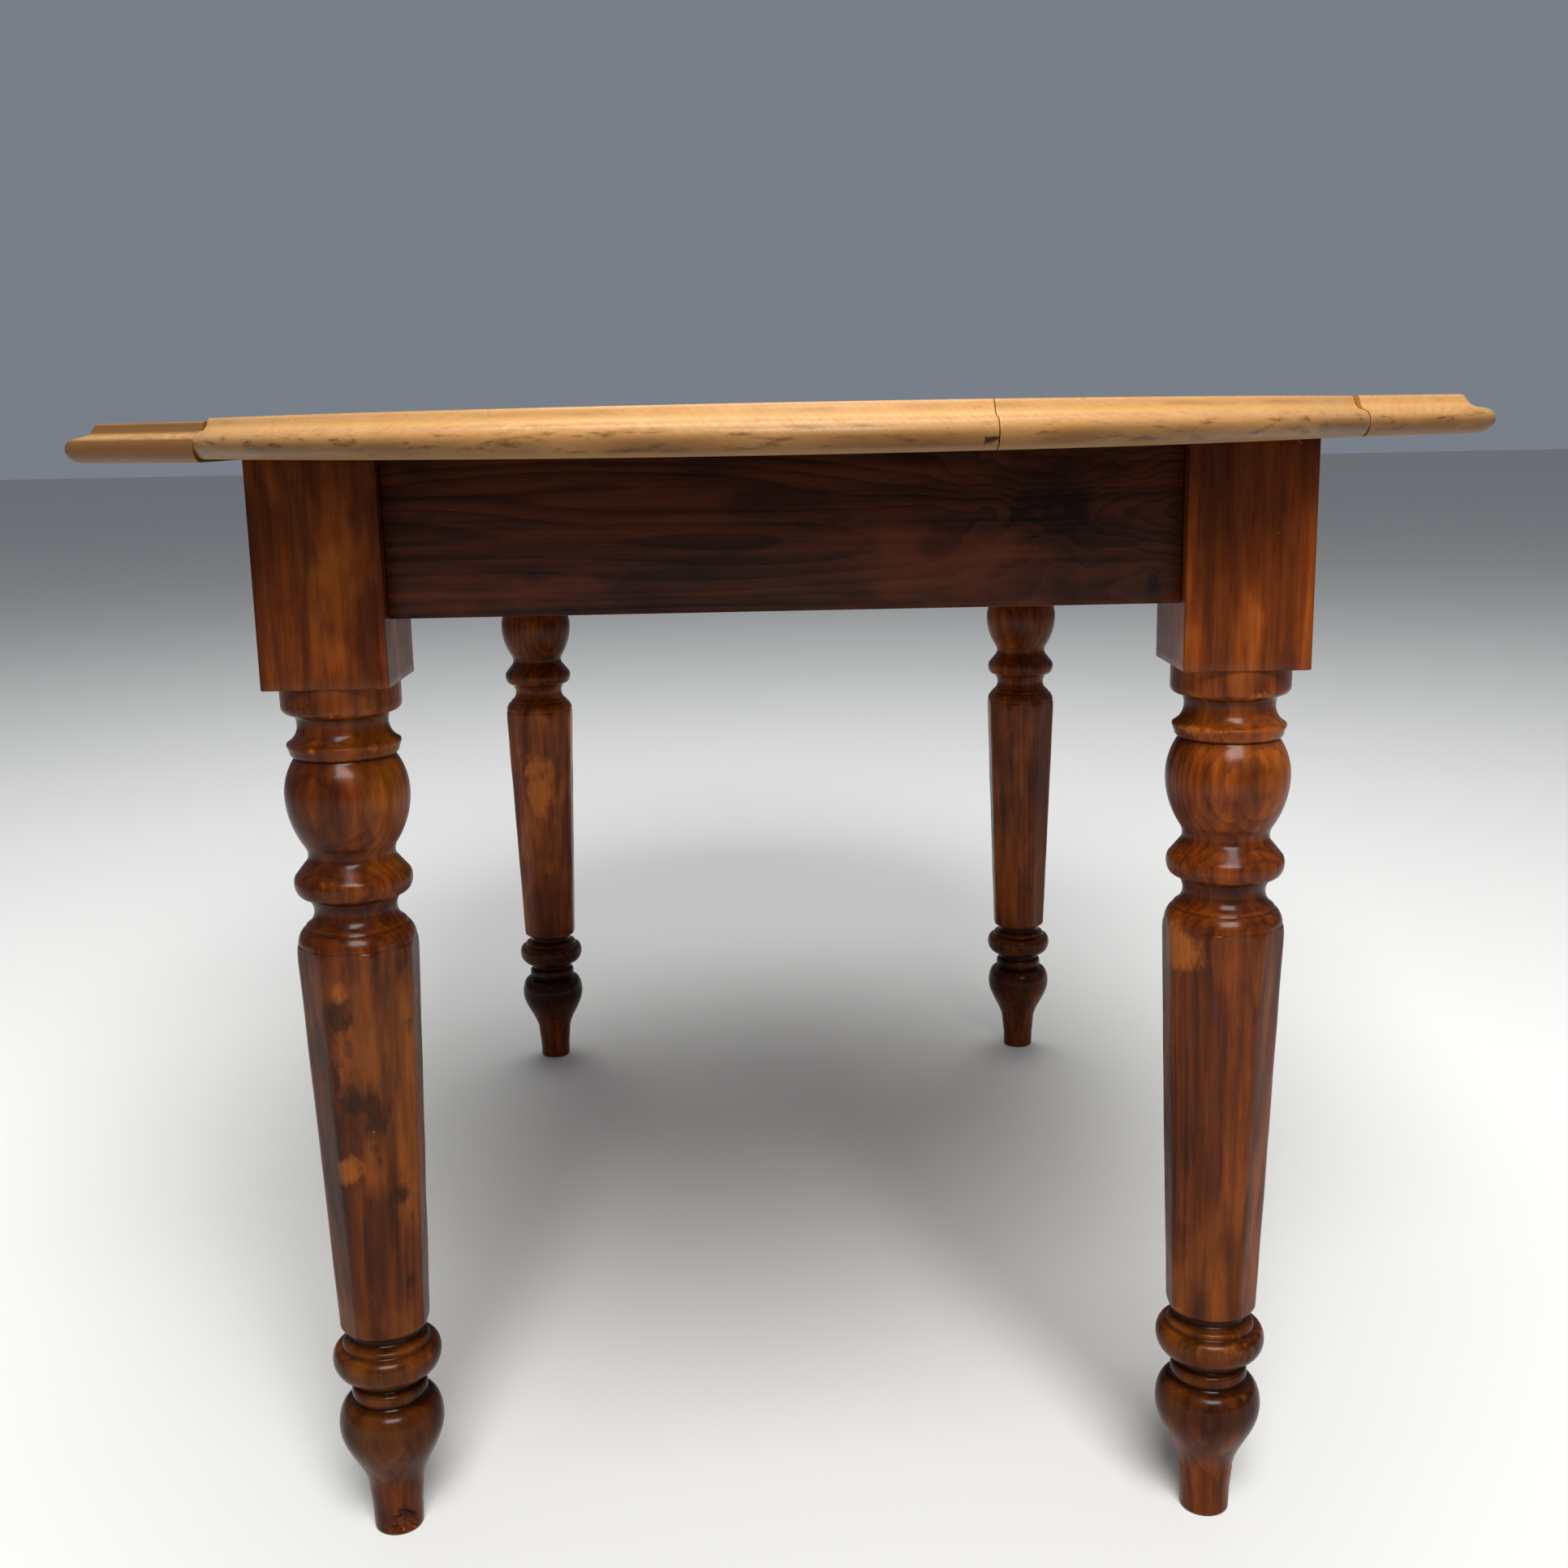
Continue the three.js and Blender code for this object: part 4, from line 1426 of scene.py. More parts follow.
def inset_outline(outline: np.ndarray, distance: float) -> np.ndarray:
    """Moves an anticlockwise outline inwards, each corner along the mitre of its edges.

    Args:
        outline: Points as rows of (x, y).
        distance: How far to move it.

    Returns:
        The moved points.
    """
    edges = np.roll(outline, -1, axis=0) - outline
    inward = np.stack([-edges[:, 1], edges[:, 0]], axis=1)
    inward /= np.linalg.norm(inward, axis=1, keepdims=True)
    before = np.roll(inward, 1, axis=0)
    mitre = before + inward
    mitre /= np.linalg.norm(mitre, axis=1, keepdims=True)
    return outline + mitre * (distance / np.sum(mitre * before, axis=1, keepdims=True))


@dataclass
class TopShape:
    """The plan and section that the fixed boards and the leaves share, in millimetres.

    Attributes:
        seam_x: Each seam's distance from the table's middle.
        seam_end_y: The front and back ends' distance from it at the seams.
        half_length: The same at the middle of the ends.
        corner: A leaf's corner before it is rounded.
        corner_radius: The rounding of that corner.
        half_width: The leaves' greatest distance from the middle.
        seam_gap: The gap between a leaf and the fixed top.
        overrun: How far an outline runs past its seam before it is sawn.
        face: The upper face's height.
        underside: The underside's height.
        wear_waves: Waves in the wear of the moulding.
        wear_depth: How far that wear goes down.
        wear_rise: How far it may go up.
        moulding: The edge's profile.
    """

    seam_x: float = 331.0
    seam_end_y: float = 531.0
    half_length: float = 753.0
    corner: tuple[float, float] = (428.0, 468.0)
    corner_radius: float = 28.0
    half_width: float = 510.0
    seam_gap: float = 0.5
    overrun: float = 30.0
    face: float = 743.0
    underside: float = 720.0
    wear_waves: int = 8
    wear_depth: float = 0.45
    wear_rise: float = 0.2
    moulding: EdgeMoulding = field(default_factory=EdgeMoulding)

    def fixed_outline(self, steps: int = 260) -> np.ndarray:
        """Both bowed ends of the fixed top, run on past the seams.

        Args:
            steps: Steps along each end.

        Returns:
            Anticlockwise points as rows of (x, y).
        """
        x = np.linspace(-1, 1, steps + 1) * (self.seam_x + self.overrun)
        y = -self.half_length + (self.half_length - self.seam_end_y) * (x / self.seam_x) ** 2
        front = np.stack([x, y], axis=1)
        return np.vstack([front, -front])

    def leaf_outline(self, steps: int = 240) -> np.ndarray:
        """The right leaf: a canted end, a round corner, a long bowed side, and the same again.

        Args:
            steps: Steps along the bowed side.

        Returns:
            Anticlockwise points as rows of (x, y).
        """
        corner = np.array([self.corner[0], -self.corner[1]])
        bulge = np.array([2 * self.half_width - self.corner[0], 0.0])
        far = corner * (1, -1)
        t = np.linspace(0, 1, steps + 1)[:, None]
        side = (1 - t) ** 2 * corner + 2 * t * (1 - t) * bulge + t**2 * far
        slope = (self.seam_end_y - self.corner[1]) / (self.corner[0] - self.seam_x)
        start = np.array([self.seam_x - self.overrun, -self.seam_end_y - slope * self.overrun])
        cant = start + (corner - start) * np.linspace(0, 1, 45)[:-1, None]
        arc = self.round_corner(start, corner, bulge)
        cant = cant[cant[:, 0] < arc[0, 0] - 1]
        side = side[np.abs(side[:, 1]) < abs(arc[-1, 1]) - 1]
        mirror = np.array([1, -1])
        return np.vstack([cant, arc, side, arc[::-1] * mirror, cant[::-1] * mirror])

    def round_corner(self, before: np.ndarray, corner: np.ndarray, after: np.ndarray) -> np.ndarray:
        """Rounds a corner between two straight runs.

        Args:
            before: A point on the run that comes to the corner.
            corner: The corner.
            after: A point on the run that leaves it.

        Returns:
            The arc's points as rows of (x, y).
        """
        back = (before - corner) / np.linalg.norm(before - corner)
        forward = (after - corner) / np.linalg.norm(after - corner)
        half = math.acos(float(np.clip(back @ forward, -1, 1))) / 2
        bisector = (back + forward) / np.linalg.norm(back + forward)
        centre = corner + bisector * self.corner_radius / math.sin(half)
        spoke = corner + back * self.corner_radius / math.tan(half) - centre
        angles = np.linspace(0, math.pi - 2 * half, 13)
        cos, sin = np.cos(angles), np.sin(angles)
        turned = np.stack([cos * spoke[0] - sin * spoke[1], sin * spoke[0] + cos * spoke[1]], axis=1)
        return centre + turned

    def slab(self, outline: np.ndarray, seed: int) -> bmesh.types.BMesh:
        """A moulded slab over an outline, its moulding a little worn.

        Args:
            outline: Anticlockwise points as rows of (x, y).
            seed: The seed of the wear.

        Returns:
            The slab as an edit mesh, in metres.
        """
        random = np.random.default_rng(seed)
        profile = self.moulding.path()
        waves = [(random.uniform(0.006, 0.05), random.uniform(0, 2 * math.pi))
                 for _ in range(self.wear_waves)]
        along = outline[:, 0] + 1.3 * outline[:, 1]
        wear = sum(np.sin(rate * along + phase) for rate, phase in waves) / len(waves)
        rings = []
        for number, (inward, depth) in enumerate(profile):
            flat = inset_outline(outline, inward)
            middle = math.sin(math.pi * number / (len(profile) - 1))
            drop = self.wear_depth * middle * wear
            level = np.full(len(flat), self.face - depth) - np.maximum(drop, -self.wear_rise)
            rings.append(np.column_stack([flat, level]))
        return ring_solid(np.array(rings) * MM)

    @staticmethod
    def saw(bm: bmesh.types.BMesh, x: float, keep_below: bool, ease: float = 0.5) -> None:
        """Cuts a slab straight through at x and eases the new edge.

        Args:
            bm: The slab to cut.
            x: Where to cut, in millimetres.
            keep_below: Whether the side with the smaller x is kept.
            ease: How far the new edge is rounded, in millimetres.
        """
        whole = bm.verts[:] + bm.edges[:] + bm.faces[:]
        bmesh.ops.bisect_plane(bm, geom=whole, dist=1e-7, plane_co=(x * MM, 0, 0), plane_no=(1, 0, 0),
                               clear_outer=keep_below, clear_inner=not keep_below)
        rim = [e for e in bm.edges if e.is_boundary]
        made = bmesh.ops.edgeloop_fill(bm, edges=rim)["faces"]
        bmesh.ops.recalc_face_normals(bm, faces=bm.faces)
        edges = list({e for face in made for e in face.edges})
        bmesh.ops.bevel(bm, geom=edges, offset=ease * MM, segments=2, profile=0.5, affect="EDGES",
                        clamp_overlap=True)


@dataclass
class Pocket:
    """The shallow pockets that let the hinges into the underside, in millimetres."""

    ys: tuple[float, ...] = (-360.0, 0.0, 360.0)
    half: float = 32.4
    depth: float = 2.3
    top_flap: tuple[float, float] = (306.8, 333.0)
    leaf_flap: tuple[float, float] = (329.0, 371.2)

    def boxes(self, reach: tuple[float, float], underside: float) -> bmesh.types.BMesh:
        """Boxes over all three pockets of one seam.

        Args:
            reach: Where they start and end in x.
            underside: The underside's height.

        Returns:
            The boxes as one edit mesh, in metres.
        """
        low, high = (reach[0], underside - 4), (reach[1], underside + self.depth)
        return gather(box_mesh((low[0] * MM, (y - self.half) * MM, low[1] * MM),
                               (high[0] * MM, (y + self.half) * MM, high[1] * MM)) for y in self.ys)


@dataclass(frozen=True)
class Splinter:
    """What is lost beside the glue line, low on the front edge: a ragged box.

    Attributes:
        low: One corner, from its middle, in metres.
        high: The opposite corner.
        aside: How far its middle is from the glue line, in millimetres.
        inset: How far it is behind the front edge, in millimetres.
        z: Its middle's height, in metres.
        ragged: How far its points stray, in metres.
        seed: The seed of their straying.
    """

    low: Point = (-0.0040, -0.0026, -0.0026)
    high: Point = (0.0050, 0.0030, 0.0022)
    aside: float = 3.0
    inset: float = 18.2
    z: float = 0.7242
    ragged: float = 0.0005
    seed: int = 5

    def tool(self, glue_line: float, front: float) -> bmesh.types.BMesh:
        """Makes the shape that is cut away.

        Args:
            glue_line: The glue line's x, in millimetres.
            front: The front edge's y, in millimetres.

        Returns:
            The shape as an edit mesh, in metres.
        """
        bm = box_mesh(self.low, self.high)
        bmesh.ops.subdivide_edges(bm, edges=bm.edges, cuts=3, use_grid_fill=True)
        random = np.random.default_rng(self.seed)
        for vertex in bm.verts:
            vertex.co += Vector(random.uniform(-self.ragged, self.ragged, 3))
        place = Matrix.Translation(((glue_line - self.aside) * MM, (front + self.inset) * MM, self.z))
        bmesh.ops.transform(bm, matrix=place, verts=bm.verts)
        return bm


@dataclass
class FixedTop:
    """The two boards of the fixed top, with an open glue line between them, in millimetres."""

    shape: TopShape = field(default_factory=TopShape)
    pocket: Pocket = field(default_factory=Pocket)
    splinter: Splinter = Splinter()
    board_seam: float = 95.5
    crack: float = 0.3

    def board(self, node: str, low: float, high: float, seed: int, timber: Timber) -> None:
        """Makes one board.

        Args:
            node: Its CAD node.
            low: Its least x, in millimetres.
            high: Its greatest x.
            seed: The seed of its wear.
            timber: How it was cut.
        """
        bm = self.shape.slab(self.shape.fixed_outline(), seed)
        self.shape.saw(bm, high, True)
        self.shape.saw(bm, low, False)
        near, far = self.pocket.top_flap
        tools = []
        if low < -near:
            tools.append(self.pocket.boxes((-far, -near), self.shape.underside))
        if high > near:
            tools.append(self.pocket.boxes((near, far), self.shape.underside))
        if abs(high - self.board_seam) < 1:
            tools.append(self.splinter.tool(self.board_seam, -self.shape.half_length))
        bm = combine(bm, gather(tools), "DIFFERENCE")
        finish_piece(f"{node}_waxed", bm, WaxedTop().dress(f"{node}_wax", timber), "root", [node])

    def build(self) -> None:
        """Makes both boards."""
        side = self.shape.seam_x - self.shape.seam_gap / 2
        wide = Timber(Grain.ALONG_Y, (-0.13, 0.0, 0.60), (0.11, 0.32, 0.07),
                      (Knot((-0.19, 0.34, 0.743), 0.045, 7.0), Knot((0.02, -0.42, 0.743), 0.03, 5.0)))
        narrow = Timber(Grain.ALONG_Y, (0.22, 0.0, 0.88), (-0.27, 0.7, 1.4),
                        (Knot((0.17, 0.11, 0.743), 0.035, 6.0),))
        self.board("top_board_wide", -side, self.board_seam - self.crack, 11, wide)
        self.board("top_board_narrow", self.board_seam + self.crack, side, 12, narrow)


@dataclass
class Leaf:
    """One drop leaf, its sag in millimetres."""

    side: Side
    seed: int
    timber: Timber
    sag: float = 0.0
    dulling: float = 0.0
    shape: TopShape = field(default_factory=TopShape)
    pocket: Pocket = field(default_factory=Pocket)

    def build(self) -> None:
        """Makes the leaf, cut at its seam and let in for its hinges."""
        bm = self.shape.slab(self.shape.leaf_outline(), self.seed)
        self.shape.saw(bm, self.shape.seam_x + self.shape.seam_gap / 2, False, 0.8)
        bmesh.ops.translate(bm, vec=(0, 0, -self.sag * MM), verts=bm.verts)
        bm = combine(bm, self.pocket.boxes(self.pocket.leaf_flap, self.shape.underside), "DIFFERENCE")
        if self.side is Side.LEFT:
            bmesh.ops.rotate(bm, matrix=Matrix.Rotation(math.pi, 3, "Z"), verts=bm.verts)
        node = self.side.leaf
        wax = WaxedTop(dulling=self.dulling).dress(f"{node}_wax", self.timber)
        finish_piece(f"{node}_waxed", bm, wax, node, [node])


# ------------------------------------------------------------------------------ ironwork


@dataclass
class Hinge:
    """One let-in table hinge, made for the right side and turned for the left, in millimetres.

    Attributes:
        side: Its side of the table.
        number: Its number on that side.
        y: Where it is along the seam.
        length: Its length along the seam.
        plate: The plates' thickness.
        knuckle: The knuckles' radius.
        bore: The radius of the hole through them.
        pin_radius: The pin's radius.
        clear: The gap between a plate and the knuckles it faces.
        corner: The rounding of the plates' corners.
        top_flap: The fixed plate's width.
        leaf_flap: The leaf plate's width.
        seam_x: The knuckle line's distance from the table's middle.
        underside: The top's underside.
        top_knuckles: Where the fixed plate's knuckles start and end.
        leaf_knuckles: The same for the leaf plate.
        top_screws: The fixed plate's screws, from the knuckle line.
        leaf_screws: The leaf plate's screws.
        screw_head: A screw head's radius.
        screw_shank: A screw shank's radius.
        sink: The countersink's width, as a share of the head's.
    """

    side: Side
    number: int
    y: float
    length: float = 64.0
    plate: float = 2.0
    knuckle: float = 3.5
    bore: float = 2.0
    pin_radius: float = 1.6
    clear: float = 0.4
    corner: float = 2.5
    top_flap: float = 20.0
    leaf_flap: float = 36.0
    seam_x: float = 331.0
    underside: float = 720.0
    top_knuckles: tuple[tuple[float, float], ...] = ((-32.0, -10.15), (10.15, 32.0))
    leaf_knuckles: tuple[tuple[float, float], ...] = ((-9.85, 9.85),)
    top_screws: tuple[tuple[float, float], ...] = ((-14.5, -22.0), (-14.5, 22.0))
    leaf_screws: tuple[tuple[float, float], ...] = ((33.5, -22.0), (33.5, 22.0), (21.5, 0.0))
    screw_head: float = 3.8
    screw_shank: float = 2.0
    sink: float = 1.1

    def flap(self, direction: int, width: float, knuckles: Sequence[tuple[float, float]],
             screws: Sequence[tuple[float, float]]) -> bmesh.types.BMesh:
        """One side of the hinge, about the seam line at y = 0.

        Args:
            direction: Its side of the seam, as the sign of x.
            width: Its plate's width.
            knuckles: Where its knuckles start and end.
            screws: Its screws' places.

        Returns:
            The plate with its knuckles and screw holes, as an edit mesh in metres.
        """
        near, half, axis_z = self.knuckle + self.clear, self.length / 2, self.plate - self.knuckle
        inner, outer = sorted((direction * near, direction * (near + width)))
        whole = box_mesh((inner * MM, -half * MM, 0), (outer * MM, half * MM, self.plate * MM))
        corners = [e for e in whole.edges if abs(e.verts[0].co.z - e.verts[1].co.z) > 1e-5
                   and abs(e.verts[0].co.x) > (near + 2) * MM]
        bmesh.ops.bevel(whole, geom=corners, offset=self.corner * MM, segments=5, profile=0.5,
                        affect="EDGES")
        for low, high in knuckles:
            web = sorted((0.0, direction * (near + 1)))
            lug = box_mesh((web[0] * MM, low * MM, 0), (web[1] * MM, high * MM, self.plate * MM))
            barrel = bar_mesh(self.knuckle * MM, (0, low * MM, axis_z * MM), (0, high * MM, axis_z * MM), 40)
            whole = combine(combine(whole, lug, "UNION"), barrel, "UNION")
        tools = [bar_mesh(self.bore * MM, (0, (-half - 1) * MM, axis_z * MM),
                          (0, (half + 1) * MM, axis_z * MM), 32)]
        for x, y in screws:
            tools.append(bar_mesh(self.screw_head * self.sink * MM, (x * MM, y * MM, -0.0003),
                                  (x * MM, y * MM, (self.plate + 0.3) * MM), 32,
                                  self.screw_shank / self.screw_head))
        return combine(whole, gather(tools), "DIFFERENCE")

    def pin(self) -> bmesh.types.BMesh:
        """The knuckle pin, its ends peened round.

        Returns:
            The pin about the seam line at y = 0, as an edit mesh in metres.
        """
        half, axis_z = self.length / 2, self.plate - self.knuckle
        bm = bar_mesh(self.pin_radius * MM, (0, -half * MM, axis_z * MM), (0, half * MM, axis_z * MM), 24)
        ease_edges(bm, 0.0005)
        return bm

    def place(self) -> Matrix:
        """The turn and shift from the seam line at y = 0 to this hinge."""
        turn = Matrix.Rotation(math.pi if self.side is Side.LEFT else 0.0, 4, "Z")
        return turn @ Matrix.Translation((self.seam_x * MM, self.y * MM, self.underside * MM))

    def screw_points(self, screws: Sequence[tuple[float, float]]) -> list[Vector]:
        """Where this hinge's screw heads sit, in the frame's axes."""
        return [self.place() @ Vector((x * MM, y * MM, 0)) for x, y in screws]

    def build(self, iron: bpy.types.Material) -> None:
        """Makes both plates and the pin.

        Args:
            iron: Their finish.
        """
        top = self.flap(-1, self.top_flap, self.top_knuckles, self.top_screws)
        leaf = self.flap(1, self.leaf_flap, self.leaf_knuckles, self.leaf_screws)
        pieces = (("top_plate", top, "root"), ("leaf_plate", leaf, self.side.leaf),
                  ("pin", self.pin(), "root"))
        for kind, bm, body in pieces:
            node = f"{self.side.word}_hinge_{kind}_{self.number}"
            bmesh.ops.transform(bm, matrix=self.place(), verts=bm.verts)
            finish_piece(f"{node}_iron", bm, iron, body, [node])


@dataclass(frozen=True)
class ScrewSize:
    """One size of slotted, countersunk wood screw, in metres."""

    head: float
    head_depth: float
    shank: float
    length: float
    slot: float = 0.0007


@dataclass
class ScrewSetter(NodeTree):
    """Sets slotted screws on points, by a Geometry Nodes tree that is built once."""

    material: bpy.types.Material
    seed: int = 4
    head_sides: int = 28
    shank_sides: int = 14
    slot_length: float = 2.6
    tree: Optional[bpy.types.NodeTree] = None
    sockets: dict[str, str] = field(default_factory=dict)

    def __post_init__(self) -> None:
        """Builds the tree once."""
        tree = bpy.data.node_groups.new("slotted_screws", "GeometryNodeTree")
        points = tree.interface.new_socket("Points", in_out="INPUT", socket_type="NodeSocketGeometry")
        self.sockets["Points"] = points.identifier
        for name in ("Head radius", "Head depth", "Shank radius", "Length", "Slot width"):
            socket = tree.interface.new_socket(name, in_out="INPUT", socket_type="NodeSocketFloat")
            self.sockets[name] = socket.identifier
        tree.interface.new_socket("Screws", in_out="OUTPUT", socket_type="NodeSocketGeometry")
        self.tree = tree
        start = tree.nodes.new("NodeGroupInput").outputs
        head = self.add("GeometryNodeMeshCone", {
            "Vertices": self.head_sides, "Radius Top": start["Shank radius"],
            "Radius Bottom": start["Head radius"], "Depth": start["Head depth"]})
        middle = self.add("ShaderNodeMath", {0: start["Length"], 1: 0.5}, operation="MULTIPLY")
        rise = self.add("ShaderNodeCombineXYZ", {"Z": middle.outputs[0]})
        shank = self.add("GeometryNodeMeshCylinder", {
            "Vertices": self.shank_sides, "Radius": start["Shank radius"], "Depth": start["Length"]})
        raised = self.add("GeometryNodeTransform", {
            "Geometry": shank.outputs["Mesh"], "Translation": rise.outputs[0]})
        whole = self.add("GeometryNodeMeshBoolean", {}, operation="UNION")
        tree.links.new(head.outputs["Mesh"], whole.inputs[1])
        tree.links.new(raised.outputs[0], whole.inputs[1])
        across = self.add("ShaderNodeMath", {0: start["Head radius"], 1: self.slot_length},
                          operation="MULTIPLY")
        size = self.add("ShaderNodeCombineXYZ", {
            "X": across.outputs[0], "Y": start["Slot width"], "Z": start["Head depth"]})
        slot = self.add("GeometryNodeMeshCube", {"Size": size.outputs[0]})
        slotted = self.add("GeometryNodeMeshBoolean", {0: whole.outputs["Mesh"]}, operation="DIFFERENCE")
        tree.links.new(slot.outputs["Mesh"], slotted.inputs[1])
        drive = self.add("GeometryNodeInputNamedAttribute", {"Name": "drive"}, data_type="FLOAT_VECTOR")
        aim = self.add("FunctionNodeAlignEulerToVector", {"Vector": drive.outputs[0]}, axis="Z")
        spin = self.add("FunctionNodeRandomValue", {}, data_type="FLOAT")
        spin.inputs[2].default_value = 0.0
        spin.inputs[3].default_value = math.pi
        spin.inputs["Seed"].default_value = self.seed
        turn = self.add("FunctionNodeRotateEuler", {
            0: aim.outputs[0], 2: (0.0, 0.0, 1.0), 3: spin.outputs[1]},
            rotation_type="AXIS_ANGLE", space="LOCAL")
        copies = self.add("GeometryNodeInstanceOnPoints", {
            "Points": start["Points"], "Instance": slotted.outputs["Mesh"], "Rotation": turn.outputs[0]})
        real = self.add("GeometryNodeRealizeInstances", {0: copies.outputs[0]})
        dressed = self.add("GeometryNodeSetMaterial", {
            "Geometry": real.outputs[0], "Material": self.material})
        tree.links.new(dressed.outputs[0], tree.nodes.new("NodeGroupOutput").inputs[0])

    def set(self, places: Sequence[Vector], drives: Sequence[Vector], size: ScrewSize) -> bmesh.types.BMesh:
        """Makes screws of one size.

        Args:
            places: The middles of the heads' flats.
            drives: The ways that the screws point.
            size: Their size.

        Returns:
            All the screws as one edit mesh.
        """
        mesh = bpy.data.meshes.new("places")
        mesh.from_pydata([tuple(place) for place in places], [], [])
        drive = mesh.attributes.new("drive", "FLOAT_VECTOR", "POINT")
        drive.data.foreach_set("vector", [value for way in drives for value in way])
        holder = new_object("screw_places", mesh)
        modifier = holder.modifiers.new("screws", "NODES")
        modifier.node_group = self.tree
        values = {"Head radius": size.head, "Head depth": size.head_depth, "Shank radius": size.shank,
                  "Length": size.length, "Slot width": size.slot}
        for name, value in values.items():
            modifier[self.sockets[name]] = value
        evaluated = holder.evaluated_get(bpy.context.evaluated_depsgraph_get())
        made = bpy.data.meshes.new_from_object(evaluated)
        bm = bmesh.new()
        bm.from_mesh(made)
        bpy.data.objects.remove(holder)
        bpy.data.meshes.remove(made)
        return bm


@dataclass
class Screws:
    """All the screws, one mesh to a body."""

    hinges: Sequence[Hinge]
    setter: ScrewSetter
    hinge_size: ScrewSize = ScrewSize(0.0034, 0.002, 0.0017, 0.0146)
    button_size: ScrewSize = ScrewSize(0.004, 0.0024, 0.002, 0.0297, 0.0009)
    bracket_size: ScrewSize = ScrewSize(0.0044, 0.0026, 0.0022, 0.0337, 0.001)

    def from_nodes(self, nodes: Sequence[str], drive: Callable[[Vector], Vector]
                   ) -> tuple[list[Vector], list[Vector]]:
        """Reads places off CAD screws.

        Args:
            nodes: The CAD nodes.
            drive: Gives the way a screw points from its middle.

        Returns:
            The middles of the heads' flats, and the ways that the screws point.
        """
        places, drives = [], []
        for node in nodes:
            low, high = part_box(node)
            middle = (low + high) / 2
            way = drive(middle)
            reach = abs(way.dot(high - low)) / 2
            places.append(middle - way * reach)
            drives.append(way)
        return places, drives

    def build(self) -> None:
        """Makes the table frame's screws and each leaf's screws."""
        buttons = [f"top_button_screw_{i}" for i in range(1, 9)]
        brackets = [f"{side.word}_bracket_screw_{i}" for side in Side for i in (1, 2)]
        up = Vector((0, 0, 1))
        sets = [
            self.setter.set(*self.from_nodes(buttons, lambda _: up), self.button_size),
            self.setter.set(*self.from_nodes(brackets, self.inward), self.bracket_size),
        ]
        top = [point for hinge in self.hinges for point in hinge.screw_points(hinge.top_screws)]
        sets.append(self.setter.set(top, [up] * len(top), self.hinge_size))
        finish_piece("frame_screws", gather(sets), self.setter.material, "root",
                     buttons + brackets)
        for side in Side:
            own = [hinge for hinge in self.hinges if hinge.side is side]
            points = [point for hinge in own for point in hinge.screw_points(hinge.leaf_screws)]
            bm = self.setter.set(points, [up] * len(points), self.hinge_size)
            finish_piece(f"{side.leaf}_screws", bm, self.setter.material, side.leaf)

    @staticmethod
    def inward(middle: Vector) -> Vector:
        """The way from a point on the table's side towards its middle."""
        return Vector((-math.copysign(1, middle.x), 0, 0))


# ------------------------------------------------------------------------------ small woodwork


@dataclass
class BarePieces:
    """The buttons and fly brackets: unfinished wood, with each bracket's iron pin."""

    iron: bpy.types.Material
    ease: float = 0.0007
    pin_ease: float = 0.0006

    def wood(self, node: str, grain: Grain, number: int) -> None:
        """Makes one bare wooden piece from its CAD node.

        Args:
            node: The CAD node.
            grain: The way its grain runs.
            number: A number of its own, which gives it its place in the noise.
        """
        low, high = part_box(node)
        heart = (low + high) / 2 + Vector((0.02, 0.03, -0.05))
        timber = Timber(grain, tuple(heart), (0.13 * number, 0.07 * number, -0.05 * number))
        finish_piece(f"{node}_sawn", eased_copy(node, self.ease), BareWood().dress(f"{node}_bare", timber),
                     "root", [node])

    def build(self) -> None:
        """Makes every button, bracket block, bracket arm and bracket pin."""
        for number in range(1, 9):
            grain = Grain.ALONG_Y if number <= 2 else Grain.ALONG_X
            self.wood(f"top_button_{number}", grain, number)
        for side in Side:
            self.wood(f"{side.word}_bracket_block", Grain.ALONG_Y, 9 + side.value)
            self.wood(f"{side.word}_bracket_arm", Grain.ALONG_Y, 12 + side.value)
            node = f"{side.word}_bracket_pin"
            low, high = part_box(node)
            middle = (low + high) / 2
            bm = bar_mesh((high.x - low.x) / 2, (middle.x, middle.y, low.z), (middle.x, middle.y, high.z), 24)
            ease_edges(bm, self.pin_ease)
            finish_piece(f"{node}_iron", bm, self.iron, "root", [node])


# ------------------------------------------------------------------------------ studio


@dataclass(frozen=True)
class Lamp:
    """One soft square light that faces a point, in metres and watts."""

    name: str
    place: Point
    aim: Point
    size: float
    power: float
    colour: Point = (0.95, 0.97, 1.0)

    def light(self) -> None:
        """Adds the light to the scene."""
        data = bpy.data.lights.new(self.name, "AREA")
        data.shape = "SQUARE"
        data.size = self.size
        data.energy = self.power
        data.color = self.colour
        way = Vector(self.aim) - Vector(self.place)
        turn = way.to_track_quat("-Z", "Y").to_matrix().to_4x4()
        new_object(self.name, data).matrix_world = Matrix.Translation(self.place) @ turn


